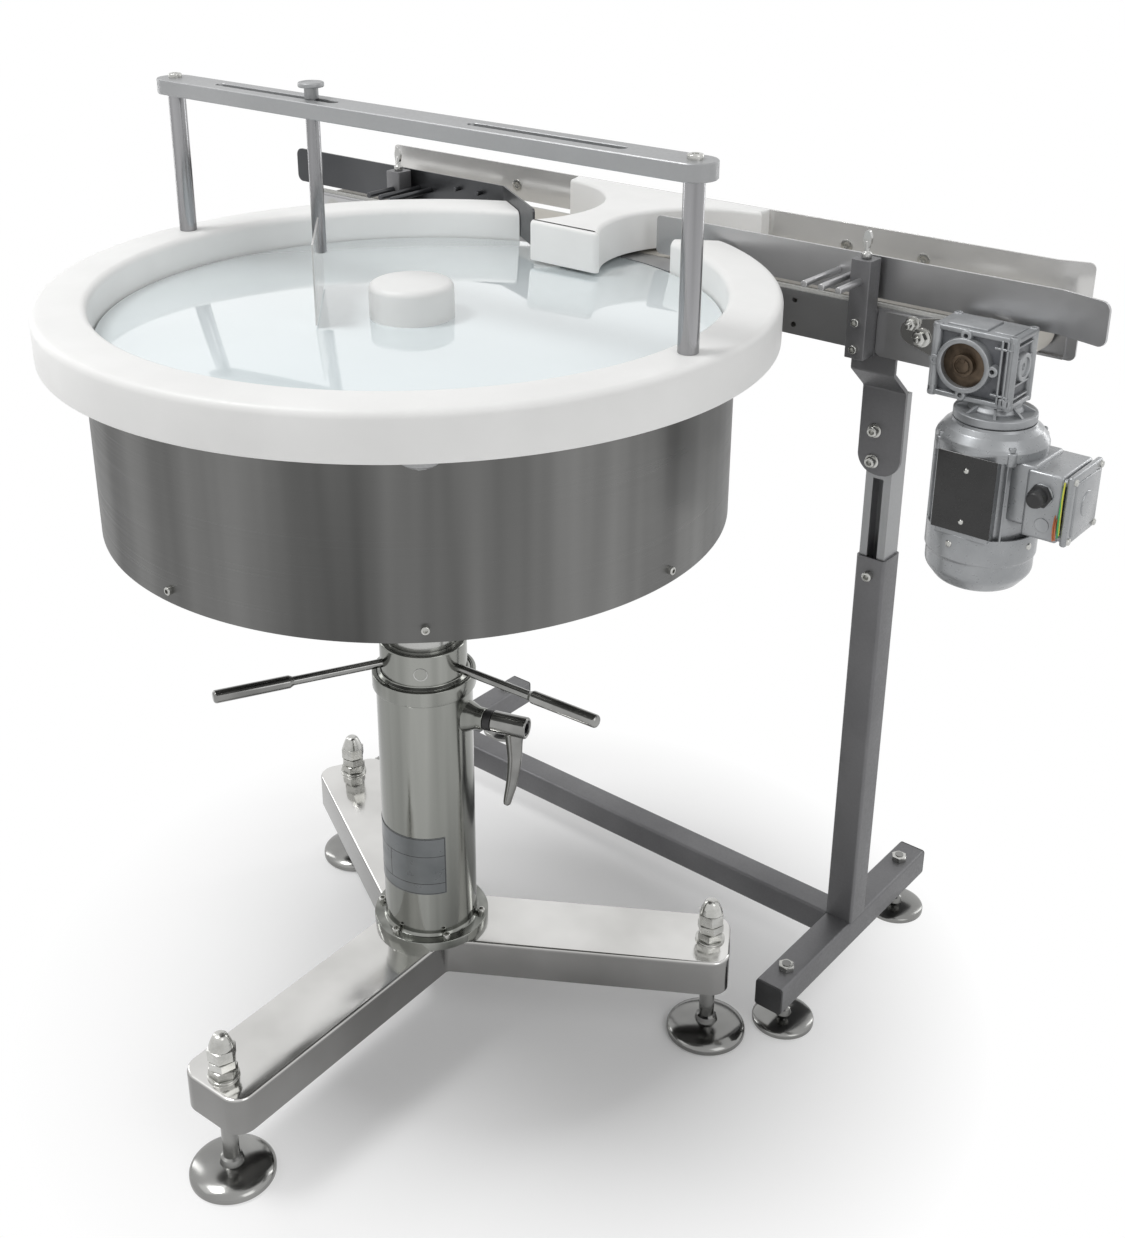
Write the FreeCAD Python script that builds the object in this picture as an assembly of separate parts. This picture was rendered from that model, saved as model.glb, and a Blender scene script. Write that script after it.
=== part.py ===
import FreeCAD, Part
import math
import os

# Accumulation table with its belt conveyor, in millimetres.
# Modelled about the turntable's axis: +X along the belt's travel, +Y from the table to the
# conveyor, +Z up from the floor. The finished model is moved so that the middle of its
# footprint is the origin.

Vec = FreeCAD.Vector
UP = Vec(0, 0, 1)
ALONG = Vec(1, 0, 0)
ACROSS = Vec(0, 1, 0)

# Clearances
runFit = 0.06
slideGap = 0.3
bodyGap = 0.4

# Turntable
discD = 700.0
discThick = 8.0
discTop = 979.0
hubD = 96.0
hubHeight = 40.0
discShaftD = 30.0
carrierD = 420.0
carrierThick = 8.0

# Rim ring and drum skirt
rimGap = 2.0
rimWidth = 60.0
rimHeight = 52.0
rimAboveDisc = 39.0
rimRound = 9.0
drumD = 726.0
drumWall = 2.0
drumBottom = 759.0
baseLip = 22.0
baseThick = 4.0
baseLift = 4.0
skirtScrews = 8
skirtScrewD = 9.0
rimPadD = 38.0
rimPads = 4

# Bridge over the table
bridgePostD = 21.3
bridgePostX = 381.0
bridgeY = -8.0
bridgeClear = 170.0
barWidth = 45.0
barThick = 18.0
slotLength = 204.0
slotWidth = 12.4
slotCentre = 200.0

# Deflector
deflectorX = -139.0
deflectorRodD = 16.0
deflectorStudD = 12.0
deflectorKnobD = 29.5
deflectorNeckHeight = 13.0
deflectorKnobHeight = 18.5
deflectorKnobCrown = 3.0
bladeAhead = 132.0
bladeBehind = 37.0
bladeHeight = 91.0
bladeThick = 2.0
bladeAboveDisc = 3.0
bladeAngle = -45.7
bladeGrip = 43.0

# Column and lifting gear
columnD = 120.0
columnWall = 3.0
columnTop = 497.0
columnFlange = 15.0
flangeScrewOut = 7.0
columnFlangeThick = 12.0
bushLength = 46.0
collarD = 129.0
collarHeight = 20.0
capstanD = 108.0
capstanHeight = 72.0
liftScrewD = 88.0
liftScrewBottom = 230.0
leverCount = 3
leverAngle = -117.0
leverReach = 262.0
leverD = 11.0
leverGripD = 16.0
leverGripLength = 92.0
leverHeight = 46.0
sleeveHoleD = 15.0
sleeveHoleHeight = 32.0
sleeveHoleAngle = 67.0
clampAngle = 18.0
clampZ = 469.0
clampBossD = 28.0
clampRootD = 42.0
clampReach = 82.0
clampStudD = 12.0
clampCollarD = 26.0
clampCollarThick = 10.0
clampHubD = 27.0
clampHubLength = 46.0
clampSocketAf = 12.0
clampSocketDepth = 6.0
handleOut = 38.0
handleDrop = 119.0

# Three-arm foot
armCount = 3
armAngle = -87.7
armReach = 368.0
armWidth = 84.0
armHeight = 46.0
armTop = 120.0
armWall = 4.0
tablePadD = 104.0
tableStemD = 20.0
tableNutAf = 30.0
tableCapTop = 212.0

# Conveyor
frameClear = 23.5
laneWidth = 110.0
beltWidth = 100.0
beltThick = 2.0
pulleyD = 50.0
pulleyX = 522.0
frameWidth = 120.0
frameSheet = 3.0
frameHeight = 55.0
frameDrop = 4.0
frameEnd = 560.0
edgeStripWidth = 5.0
shaftD = 14.0
guideSheet = 3.0
guideHeight = 49.0
guideLift = 6.0
frontGuideOuter = 602.0
frontGuideInner = 190.0
frontGuideFlare = 52.0
frontRightStart = 66.0
bentLength = 140.0
bentAngle = -33.5
backGuideEnd = 507.0
backGuideFlare = 42.0
flareAngle = 16.0
rodD = 8.0
rodPitch = 22.0
rodLength = 78.0
rodBelowTop = 25.0
blockX = 370.5
blockSide = 25.0
blockAboveRod = 25.0
guideStudX = (272.0, 231.0)
frameHoleX = 272.0
tieX = (430.0, 140.0)
backScrewX = (-262.0, 273.0, 377.0)
rimRightEnd = 118.0
rimBackClear = 4.5
transferStart = -96.0
noseLeft = 43.0
noseRight = 64.0
noseReach = 234.5
waistLeft = 21.0
waistLeftReach = 143.5
waistRight = 37.0
waistRightReach = 128.5
shoulderLeft = 150.0
shoulderRight = 160.0
shoulderDepth = 18.0
transferThick = 3.0

# Conveyor stand
tube = 40.0
tubeWall = 2.5
standSpreadX = 69.0
standSpreadY = 82.0
standBackPad = 155.0
footOverhang = 40.0
footLift = 45.5
postTop = 639.0
innerWall = 3.0
innerTop = 853.0
innerBottom = 300.0
standPadD = 82.0
standStemD = 12.0
bracketWidth = 57.0
bracketSheet = 4.8
bracketBottom = 752.0

# Worm gearbox and motor
gearHigh = 80.0
gearLong = 97.0
gearAxisIn = 40.0
gearWide = 63.0
gearCentres = 30.0
gearRingD = 60.0
gearRecessD = 50.0
gearGapToFrame = 5.5
motorD = 110.0
motorFinDepth = 5.0
motorFins = 26
motorFlangeD = 90.0
motorLength = 192.0
fanCoverD = 122.0
fanCoverLength = 62.0
boxSide = 78.0
boxDeep = 48.0

# Heights and places that follow from the sizes above
rimInnerR = discD / 2 + rimGap
rimOuterR = rimInnerR + rimWidth
rimTop = discTop + rimAboveDisc
rimBottom = rimTop - rimHeight
drumR = drumD / 2
barBottom = rimTop + bridgeClear
barTop = barBottom + barThick
columnFlangeD = columnD + 2 * columnFlange
beltY = discD / 2 + frameClear + frameWidth / 2
frameFront = beltY - frameWidth / 2
frameBack = beltY + frameWidth / 2
frameTop = discTop - frameDrop
frameBottom = frameTop - frameHeight
guideBottom = discTop + guideLift
guideTop = guideBottom + guideHeight
rodZ = guideTop - rodBelowTop
blockTop = rodZ + blockAboveRod
rimBackCut = frameFront - rimBackClear
transferTop = discTop
standAngle = math.radians(armAngle + 360.0 / armCount)
standX = armReach * math.cos(standAngle) + standSpreadX
frontPadY = armReach * math.sin(standAngle) + standSpreadY
backPadY = beltY + standBackPad
guideFrontY = beltY - laneWidth / 2
guideBackY = beltY + laneWidth / 2
beltTop = discTop
pulleyZ = beltTop - beltThick - pulleyD / 2
footTop = footLift + tube
gearFront = frameFront - gearGapToFrame - gearWide
gearMidY = gearFront + gearWide / 2
motorX = pulleyX + gearCentres
transferEnd = rimRightEnd - 2

groups = {}


def add(name, *shapes):
    # pieces of one kind can be added to the same node one after another
    for shape in shapes:
        groups.setdefault(name, []).extend(shape.removeSplitter().Solids)


def block(x0, x1, y0, y1, z0, z1):
    return Part.makeBox(x1 - x0, y1 - y0, z1 - z0, Vec(x0, y0, z0))


def rod(d, start, direction, length):
    return Part.makeCylinder(d / 2, length, Vec(*start), direction)


def pipe(outer, inner, x, y, z0, z1):
    body = rod(outer, (x, y, z0), UP, z1 - z0)
    return body.cut(rod(inner, (x, y, z0 - 1), UP, z1 - z0 + 2))


def turned(profile, x=0.0, y=0.0, z=0.0):
    # a closed profile of radius and height pairs, turned about a vertical axis
    points = [Vec(r, 0, h) for r, h in profile]
    face = Part.Face(Part.makePolygon(points + points[:1]))
    solid = face.revolve(Vec(0, 0, 0), UP, 360)
    solid.translate(Vec(x, y, z))
    return solid


def plate(points, z0, z1):
    # a flat outline in plan, raised from z0 to z1
    corners = [Vec(x, y, z0) for x, y in points]
    face = Part.Face(Part.makePolygon(corners + corners[:1]))
    return face.extrude(Vec(0, 0, z1 - z0))


def wall(points, y0, y1):
    # a flat outline seen from the front, thickened along Y
    corners = [Vec(x, y0, z) for x, z in points]
    face = Part.Face(Part.makePolygon(corners + corners[:1]))
    return face.extrude(Vec(0, y1 - y0, 0))


def joined(shapes):
    whole = shapes[0]
    for shape in shapes[1:]:
        whole = whole.fuse(shape)
    return whole.removeSplitter()


def roundVertical(shape, radius, chosen):
    # rounds the upright edges whose middle the test picks
    edges = []
    for edge in shape.Edges:
        ends = edge.Vertexes
        if len(ends) != 2:
            continue
        a = ends[0].Point
        b = ends[1].Point
        if abs(a.x - b.x) < 0.01 and abs(a.y - b.y) < 0.01 and chosen((a + b) * 0.5):
            edges.append(edge)
    return shape.makeFillet(radius, edges)


def roundAlongY(shape, radius, chosen):
    # rounds the edges parallel to Y whose middle the test picks
    edges = []
    for edge in shape.Edges:
        ends = edge.Vertexes
        if len(ends) != 2:
            continue
        a = ends[0].Point
        b = ends[1].Point
        if abs(a.x - b.x) < 0.01 and abs(a.z - b.z) < 0.01 and chosen((a + b) * 0.5):
            edges.append(edge)
    return shape.makeFillet(radius, edges)


def hexagon(acrossFlats, height, start, direction=UP):
    radius = acrossFlats / math.sqrt(3)
    points = []
    for k in range(7):
        angle = math.radians(60 * k)
        points.append(Vec(radius * math.cos(angle), radius * math.sin(angle), 0))
    prism = Part.Face(Part.makePolygon(points)).extrude(Vec(0, 0, height))
    turn = FreeCAD.Rotation(UP, direction)
    prism.Placement = FreeCAD.Placement(Vec(*start), turn)
    return prism


def socketScrew(d, headD, headHeight, seat, direction):
    # a socket head with its hexagon recess, sitting on the seat and pointing out of it
    head = rod(headD, seat, direction, headHeight)
    tip = Vec(*seat) + direction * (headHeight * 0.45)
    recess = hexagon(d * 0.8, headHeight, (tip.x, tip.y, tip.z), direction)
    return head.cut(recess)


def polar(radius, degrees):
    angle = math.radians(degrees)
    return radius * math.cos(angle), radius * math.sin(angle)


def spin(shape, degrees):
    shape.rotate(Vec(0, 0, 0), UP, degrees)
    return shape


# Three-arm foot with the column's base

armAngles = [armAngle + 360.0 / armCount * k for k in range(armCount)]
armBottom = armTop - armHeight


def armForm(inset, bottom, top, reach):
    half = armWidth / 2 - inset
    shapes = [rod(columnFlangeD + 26 - 2 * inset, (0, 0, bottom), UP, top - bottom)]
    for angle in armAngles:
        arm = block(0, reach, -half, half, bottom, top)
        arm = arm.fuse(rod(2 * half, (reach, 0, bottom), UP, top - bottom))
        shapes.append(spin(arm, angle))
    return joined(shapes)


def makeLegFrame():
    shell = armForm(0, armBottom, armTop, armReach)
    inside = armForm(armWall, armBottom - 1, armTop - armWall, armReach)
    frame = shell.cut(inside)
    for angle in armAngles:
        x, y = polar(armReach, angle)
        boss = rod(tableStemD + 18, (x, y, armBottom + 4), UP, armHeight - 4 - armWall / 2)
        frame = frame.fuse(boss)
        frame = frame.cut(rod(tableStemD + 2 * runFit, (x, y, armBottom - 2), UP, armHeight + 4))
    add("leg_frame", frame)


def makeColumn():
    flangeTop = armTop + columnFlangeThick
    tubeBody = pipe(columnD, columnD - 2 * columnWall, 0, 0, armTop, columnTop)
    flange = pipe(columnFlangeD, columnD - 1, 0, 0, armTop, flangeTop)
    collar = pipe(collarD, columnD - 1, 0, 0, columnTop - collarHeight, columnTop)
    guide = pipe(columnD - 1, liftScrewD + 2 * slideGap, 0, 0, columnTop - bushLength, columnTop)
    column = joined([tubeBody, flange, collar, guide])
    x, y = polar(columnD / 2 - columnWall, clampAngle)
    outwards = Vec(x, y, 0).normalize()
    bossLength = clampReach - columnD / 2 + columnWall
    boss = rod(clampBossD, (x, y, clampZ), outwards, bossLength)
    root = Part.makeCone(clampRootD / 2, clampBossD / 2, bossLength * 0.6, Vec(x, y, clampZ), outwards)
    boss = boss.fuse(root)
    inner = rod(columnD - 2 * columnWall - 1, (0, 0, clampZ - clampRootD), UP,
                columnTop - bushLength + 1 - clampZ + clampRootD)
    column = column.fuse(boss.cut(inner))
    x, y = polar(liftScrewD / 2 - 10, clampAngle)
    stud = rod(clampStudD + 2 * runFit, (x, y, clampZ), outwards, clampReach)
    column = column.cut(stud)
    for k in range(6):
        x, y = polar(columnD / 2 + flangeScrewOut, 60 * k + 30)
        column = column.cut(rod(6.6, (x, y, armTop - 1), UP, columnFlangeThick + 2))
    core = rod(liftScrewD + 2 * slideGap, (0, 0, armTop - 1), UP, columnTop - armTop + 2)
    column = column.cut(core)
    add("column_tube", column)
    screws = []
    for k in range(6):
        x, y = polar(columnD / 2 + flangeScrewOut, 60 * k + 30)
        screws.append(socketScrew(6, 9.5, 6, (x, y, flangeTop), UP).fuse(
            rod(6, (x, y, armTop), UP, columnFlangeThick)))
    add("base_screws", *screws)


def levellingFoot(x, y, padD, stemD, padHeight, stemTop):
    r = padD / 2
    s = stemD / 2
    profile = [(0, 0), (r - 3, 0), (r, 3), (r, 6), (r * 0.72, padHeight * 0.62),
               (s + 5, padHeight), (s + 3, padHeight + 7), (s, padHeight + 9),
               (s, stemTop), (0, stemTop)]
    return turned(profile, x, y)


def makeTableFeet():
    nuts = []
    nutH = 0.6 * tableNutAf
    hole = tableStemD + 2 * runFit
    for k, angle in enumerate(armAngles):
        x, y = polar(armReach, angle)
        add("table_foot_%d" % (k + 1),
            levellingFoot(x, y, tablePadD, tableStemD, 20, tableCapTop - 14))
        lower = hexagon(tableNutAf, nutH, (x, y, armBottom + 4 - nutH))
        washer = rod(tableNutAf + 8, (x, y, armTop), UP, 3)
        first = hexagon(tableNutAf, nutH, (x, y, armTop + 3))
        second = hexagon(tableNutAf - 1, nutH, (x, y, armTop + 3 + nutH))
        capBottom = armTop + 3 + 2 * nutH
        capSide = tableCapTop - capBottom - 0.42 * tableNutAf
        cap = hexagon(tableNutAf, capSide * 0.5, (x, y, capBottom))
        r = tableNutAf / 2 - 0.6
        top = tableCapTop - capBottom
        dome = turned([(0, 0), (r, 0), (r, capSide), (r * 0.92, capSide + r * 0.42),
                       (r * 0.68, top - r * 0.2), (r * 0.36, top - 0.6), (0, top)],
                      x, y, capBottom)
        stack = joined([washer, first, second, cap, dome])
        bore = rod(hole, (x, y, armTop - 1), UP, tableCapTop - 14 + bodyGap - armTop + 1)
        nuts.append(stack.cut(bore))
        nuts.append(lower.cut(rod(hole, (x, y, armBottom - 20), UP, 30)))
    add("levelling_nuts", *nuts)


# Lifting gear

capstanBottom = columnTop + slideGap
leverSeat = (liftScrewD + capstanD) / 4


def leverRod(angle):
    start = leverSeat
    stem = rod(leverD, (start, 0, 0), ALONG, leverReach - start - 4)
    gripStart = leverReach - leverGripLength
    grip = rod(leverGripD, (gripStart, 0, 0), ALONG, leverGripLength - leverGripD / 2)
    ball = Part.makeSphere(leverGripD / 2, Vec(leverReach - leverGripD / 2, 0, 0))
    neck = Part.makeCone(leverD / 2, leverGripD / 2, 5, Vec(gripStart - 5, 0, 0), ALONG)
    lever = joined([stem, grip, ball, neck])
    lever.translate(Vec(0, 0, capstanBottom + leverHeight))
    return spin(lever, angle)


def makeCapstan():
    sleeve = turned([(liftScrewD / 2 + slideGap, 0), (capstanD / 2 + 4, 0),
                     (capstanD / 2 + 4, 5), (capstanD / 2, 8),
                     (capstanD / 2, capstanHeight - 2), (capstanD / 2 - 2, capstanHeight),
                     (liftScrewD / 2 + slideGap, capstanHeight)], 0, 0, capstanBottom)
    levers = []
    holes = ((0.0, leverHeight, leverD + 2 * runFit), (sleeveHoleAngle, sleeveHoleHeight, sleeveHoleD))
    for k in range(leverCount):
        angle = leverAngle + 360.0 / leverCount * k
        for turn, height, holeD in holes:
            x, y = polar(leverSeat, angle + turn)
            outwards = Vec(x, y, 0).normalize()
            sleeve = sleeve.cut(rod(holeD, (x, y, capstanBottom + height), outwards, capstanD / 2))
        levers.append(leverRod(angle))
    add("capstan_sleeve", sleeve)
    add("capstan_levers", *levers)


def makeClampLever():
    bossEnd = clampReach + bodyGap
    hubStart = bossEnd + clampCollarThick
    hubEnd = hubStart + clampHubLength
    stud = rod(clampStudD, (liftScrewD / 2 + 1, 0, 0), ALONG, bossEnd - liftScrewD / 2)
    collar = rod(clampCollarD, (bossEnd, 0, 0), ALONG, clampCollarThick)
    hub = rod(clampHubD, (hubStart, 0, 0), ALONG, clampHubLength)
    hub = hub.makeFillet(4, [e for e in hub.Edges if e.BoundBox.XMin > hubEnd - 0.01])
    # oval sections of the handle: drop, shift along the hub, half width, half thickness
    wires = []
    for drop, shift, wide, thick in ((0.03, 0, 11, 8.5), (0.4, 1, 9.2, 6.5), (0.7, -3, 7.6, 5.8),
                                     (0.92, -9, 5.4, 4.6), (1.0, -11, 3.2, 2.8)):
        place = Vec(bossEnd + handleOut + shift, 0, -drop * handleDrop)
        wires.append(Part.Wire(Part.Ellipse(place, wide, thick).toShape()))
    handle = Part.makeLoft(wires, True)
    lever = joined([stud, collar, hub, handle])
    lever = lever.cut(hexagon(clampSocketAf, clampSocketDepth + 1,
                              (hubEnd - clampSocketDepth, 0, 0), ALONG))
    lever.translate(Vec(0, 0, clampZ))
    add("clamp_lever", spin(lever, clampAngle))


# Table head: what the lifting screw carries

def makeHeadFrame():
    plateBottom = drumBottom + baseLift
    screw = rod(liftScrewD, (0, 0, liftScrewBottom), UP, plateBottom - liftScrewBottom)
    screw = screw.cut(rod(liftScrewD - 24, (0, 0, liftScrewBottom - 1), UP,
                          plateBottom - liftScrewBottom - 20))
    topPlate = rod(180, (0, 0, plateBottom - 8), UP, 8)
    add("lift_screw", screw.fuse(topPlate))
    inner = drumR - drumWall
    tray = turned([(0, 0), (inner, 0), (inner, baseLip), (inner - baseThick, baseLip),
                   (inner - baseThick, baseThick), (0, baseThick)], 0, 0, plateBottom)
    add("drum_base", tray)
    skirt = turned([(inner, drumBottom), (drumR, drumBottom), (drumR, rimBottom),
                    (rimInnerR - 4, rimBottom), (rimInnerR - 4, rimBottom - drumWall),
                    (inner, rimBottom - drumWall)])
    add("drum_skirt", skirt)
    screws = []
    for k in range(skirtScrews):
        angle = 360.0 / skirtScrews * k
        x, y = polar(drumR, angle)
        outwards = Vec(x, y, 0).normalize()
        seat = (x, y, plateBottom + baseLip / 2)
        screws.append(socketScrew(5, skirtScrewD, 5, seat, outwards))
    add("head_screws", *screws)


bendX = -frontGuideInner
bendDir = polar(1.0, bentAngle)
guideFaceY = guideFrontY - guideSheet


def rimCutLine(along):
    # the line that the rim's left end and the bent guide share, a little before the guide
    offset = bodyGap
    return (bendX + along * bendDir[0] + offset * bendDir[1],
            guideFaceY + along * bendDir[1] - offset * bendDir[0])


def makeRim():
    ring = pipe(2 * rimOuterR, 2 * rimInnerR, 0, 0, rimBottom, rimTop)
    tops = []
    for edge in ring.Edges:
        if len(edge.Vertexes) == 1 and abs(edge.Vertexes[0].Point.z - rimTop) < 0.01:
            tops.append(edge)
    ring = ring.makeFillet(rimRound, tops)
    wide = rimOuterR + 40
    a = rimCutLine(-120)
    b = rimCutLine(180)
    gap = plate([a, b, (rimRightEnd, b[1]), (rimRightEnd, rimBackCut), (wide, rimBackCut),
                 (wide, wide), (a[0], wide)], rimBottom - 1, rimTop + 1)
    add("rim_ring", ring.cut(gap))
    pads = []
    for k in range(rimPads):
        x, y = polar(drumR + rimPadD / 2 + 4, 45 + 360.0 / rimPads * k)
        pad = turned([(0, 0), (rimPadD / 2 - 2, 0), (rimPadD / 2, 2), (rimPadD / 2, 8), (0, 8)],
                     x, y, rimBottom - 8)
        pads.append(pad.fuse(hexagon(13, 5, (x, y, rimBottom - 13))))
    add("rim_pads", *pads)


def makeBridge():
    for side in (-1, 1):
        x = side * bridgePostX
        add("bridge_posts", rod(bridgePostD, (x, bridgeY, rimTop), UP, bridgeClear))
    half = bridgePostX
    bar = block(-half, half, bridgeY - barWidth / 2, bridgeY + barWidth / 2, barBottom, barTop)
    screws = []
    for side in (-1, 1):
        x = side * bridgePostX
        bar = bar.fuse(rod(barWidth, (x, bridgeY, barBottom), UP, barThick))
        screws.append(turned([(0, 0), (9, 0), (9, 5), (6.5, 9), (3, 10), (0, 10)],
                             x, bridgeY, barTop))
    bar = bar.removeSplitter()
    rims = []
    for edge in bar.Edges:
        box = edge.BoundBox
        if abs(box.ZMax - box.ZMin) < 0.01:
            rims.append(edge)
    bar = bar.makeFillet(2.0, rims)
    for side in (-1, 1):
        x = side * slotCentre
        straight = (slotLength - slotWidth) / 2
        slot = block(x - straight, x + straight, bridgeY - slotWidth / 2,
                     bridgeY + slotWidth / 2, barBottom - 1, barTop + 1)
        for end in (-1, 1):
            slot = slot.fuse(rod(slotWidth, (x + end * straight, bridgeY, barBottom - 1),
                                 UP, barThick + 2))
        bar = bar.cut(slot)
    add("bridge_bar", bar)
    add("head_screws", *screws)


def makeTableDrive():
    trayTop = drumBottom + baseLift + baseThick
    boxTop = discTop - discThick - carrierThick - 22
    housing = block(-60, 50, -46, 46, trayTop, boxTop)
    housing = roundVertical(housing, 10, lambda p: True)
    nose = rod(76, (0, 0, boxTop), UP, 8)
    cover = rod(78, (0, -56, (trayTop + boxTop) / 2), ACROSS, 112)
    gearbox = joined([housing, nose, cover])
    gearbox = gearbox.cut(rod(discShaftD + 2 * runFit, (0, 0, trayTop + 20), UP, 200))
    add("table_gearmotor", gearbox)
    midZ = trayTop + 70
    start = -60
    flange = rod(120, (start, 0, midZ), Vec(-1, 0, 0), 10)
    body = rod(112, (start - 10, 0, midZ), Vec(-1, 0, 0), 130)
    fan = rod(118, (start - 140, 0, midZ), Vec(-1, 0, 0), 52)
    top = block(start - 100, start - 30, -34, 34, midZ + 40, midZ + 76)
    add("table_gearmotor", joined([flange, body, fan, top]))


def makeDisc():
    disc = rod(discD, (0, 0, discTop - discThick), UP, discThick)
    edges = [e for e in disc.Edges if len(e.Vertexes) == 1]
    add("turntable_disc", disc.makeFillet(1.2, edges))
    hub = rod(hubD, (0, 0, discTop), UP, hubHeight)
    top = [e for e in hub.Edges if len(e.Vertexes) == 1
           and abs(e.Vertexes[0].Point.z - discTop - hubHeight) < 0.01]
    add("disc_hub", hub.makeFillet(8, top))
    under = discTop - discThick
    carrier = rod(carrierD, (0, 0, under - carrierThick), UP, carrierThick)
    for k in range(6):
        x, y = polar(carrierD * 0.32, 60 * k)
        carrier = carrier.cut(rod(carrierD * 0.2, (x, y, under - carrierThick - 1), UP,
                                  carrierThick + 2))
    bossH = 12
    boss = rod(90, (0, 0, under - carrierThick - bossH), UP, bossH)
    shaftBottom = drumBottom + baseLift + baseThick + 22
    shaft = rod(discShaftD, (0, 0, shaftBottom), UP, under - carrierThick - shaftBottom)
    add("disc_carrier", joined([carrier, boss, shaft]))


def makeDeflector():
    knobBottom = barTop + slideGap
    bore = deflectorStudD / 2 + runFit
    neck = deflectorRodD / 2
    head = deflectorKnobD / 2
    studTop = deflectorKnobHeight - deflectorKnobCrown
    knob = turned([(bore, 0), (neck, 0), (neck, deflectorNeckHeight), (head, deflectorNeckHeight),
                   (head, deflectorKnobHeight - 1.5), (head - 1.5, deflectorKnobHeight),
                   (0, deflectorKnobHeight), (0, studTop), (bore, studTop)],
                  deflectorX, bridgeY, knobBottom)
    add("deflector_knob", knob)
    rodBottom = discTop + bladeAboveDisc + bladeHeight - bladeGrip
    rodTop = barBottom - slideGap
    body = rod(deflectorRodD, (deflectorX, bridgeY, rodBottom), UP, rodTop - rodBottom)
    stud = rod(deflectorStudD, (deflectorX, bridgeY, rodTop), UP,
               knobBottom + studTop - slideGap - rodTop)
    whole = joined([body, stud])
    saw = block(-deflectorRodD, deflectorRodD, -bladeThick / 2, bladeThick / 2,
                rodBottom - 1, rodBottom + bladeGrip)
    blade = block(-bladeBehind, bladeAhead, -bladeThick / 2, bladeThick / 2,
                  discTop + bladeAboveDisc, discTop + bladeAboveDisc + bladeHeight)
    for piece in (saw, blade):
        spin(piece, bladeAngle)
        piece.translate(Vec(deflectorX, bridgeY, 0))
    add("deflector_rod", whole.cut(saw))
    add("deflector_blade", blade)


# Conveyor stand

def squareTube(x, y, z0, z1, side, thick):
    half = side / 2
    outside = block(x - half, x + half, y - half, y + half, z0, z1)
    hole = half - thick
    return outside.cut(block(x - hole, x + hole, y - hole, y + hole, z0 - 1, z1 + 1))


def makeStand():
    half = tube / 2
    hole = half - tubeWall
    caps = []
    nuts = []
    screws = []
    for side, name in ((-1, "left"), (1, "right")):
        x = side * standX
        y0 = frontPadY - footOverhang
        y1 = backPadY + footOverhang
        foot = block(x - half, x + half, y0, y1, footLift, footTop)
        foot = foot.cut(block(x - hole, x + hole, y0 - 1, y1 + 1,
                              footLift + tubeWall, footTop - tubeWall))
        for end, pad, padY in ((-1, "front", frontPadY), (1, "back", backPadY)):
            foot = foot.cut(rod(standStemD + 2 * runFit, (x, padY, footLift - 1), UP, tube + 2))
            add("stand_foot_%s_%s" % (pad, name),
                levellingFoot(x, padY, standPadD, standStemD, 14, footTop + 9))
            lower = hexagon(19, 8, (x, padY, footLift - 8))
            upper = hexagon(19, 8, (x, padY, footTop))
            for nut in (lower, upper):
                bore = rod(standStemD + 2 * runFit, (x, padY, footLift - 20), UP, tube + 60)
                nuts.append(nut.cut(bore))
            capY = y0 - 3 if end < 0 else y1
            face = block(x - half, x + half, capY, capY + 3, footLift, footTop)
            plugY = y0 if end < 0 else y1 - 12
            gap = hole - 0.2
            mid = footLift + half
            plug = block(x - gap, x + gap, plugY, plugY + 12, mid - gap, mid + gap)
            caps.append(face.fuse(plug))
        add("stand_foot_bars", foot)
        post = squareTube(x, beltY, footTop, postTop, tube, tubeWall)
        boltZ = postTop - 24
        post = post.cut(rod(8.4, (x, beltY - half - 1, boltZ), ACROSS, tubeWall + 2))
        add("stand_posts", post)
        seat = (x, beltY - half, boltZ)
        head = socketScrew(8, 13, 8, seat, Vec(0, -1, 0))
        screws.append(head.fuse(rod(8, seat, ACROSS, tubeWall)))
    add("stand_tie_beam",
        block(-standX + half, standX - half, beltY - half, beltY + half, footLift, footTop).cut(
            block(-standX + half - 1, standX - half + 1, beltY - hole, beltY + hole,
                  footLift + tubeWall, footTop - tubeWall)))
    add("tube_end_caps", *caps)
    add("levelling_nuts", *nuts)
    add("base_screws", *screws)


def makeSlidePosts():
    side = tube - 2 * tubeWall - 2 * slideGap
    half = side / 2
    front = beltY - half
    webInner = frameFront + frameSheet
    for sign in (-1, 1):
        x = sign * standX
        post = squareTube(x, beltY, innerBottom, innerTop, side, innerWall)
        slotTop = bracketBottom - 6
        post = post.cut(block(x - 7, x + 7, front - 1, front + innerWall + 1,
                              innerBottom + 60, slotTop))
        y0 = front - bracketSheet
        bendTop = frameBottom - 26
        bendBottom = bendTop - 30
        outline = [(webInner, frameBottom + 14), (webInner + bracketSheet, frameBottom + 14),
                   (webInner + bracketSheet, bendTop), (front, bendBottom),
                   (front, bracketBottom), (y0, bracketBottom), (y0, bendBottom),
                   (webInner, bendTop)]
        corners = [Vec(x - bracketWidth / 2, y, z) for y, z in outline]
        face = Part.Face(Part.makePolygon(corners + corners[:1]))
        bracket = face.extrude(Vec(bracketWidth, 0, 0))
        bracket = roundAlongY(bracket, bracketWidth * 0.4,
                              lambda p: p.z < bracketBottom + 1)
        bolts = []
        for z in (bracketBottom + 17, bracketBottom + 57):
            seat = (x - 8, y0, z)
            bolts.append(socketScrew(8, 13, 8, seat, Vec(0, -1, 0)))
        add("slide_posts", post)
        add("height_brackets", joined([bracket] + bolts))


# Conveyor

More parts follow.
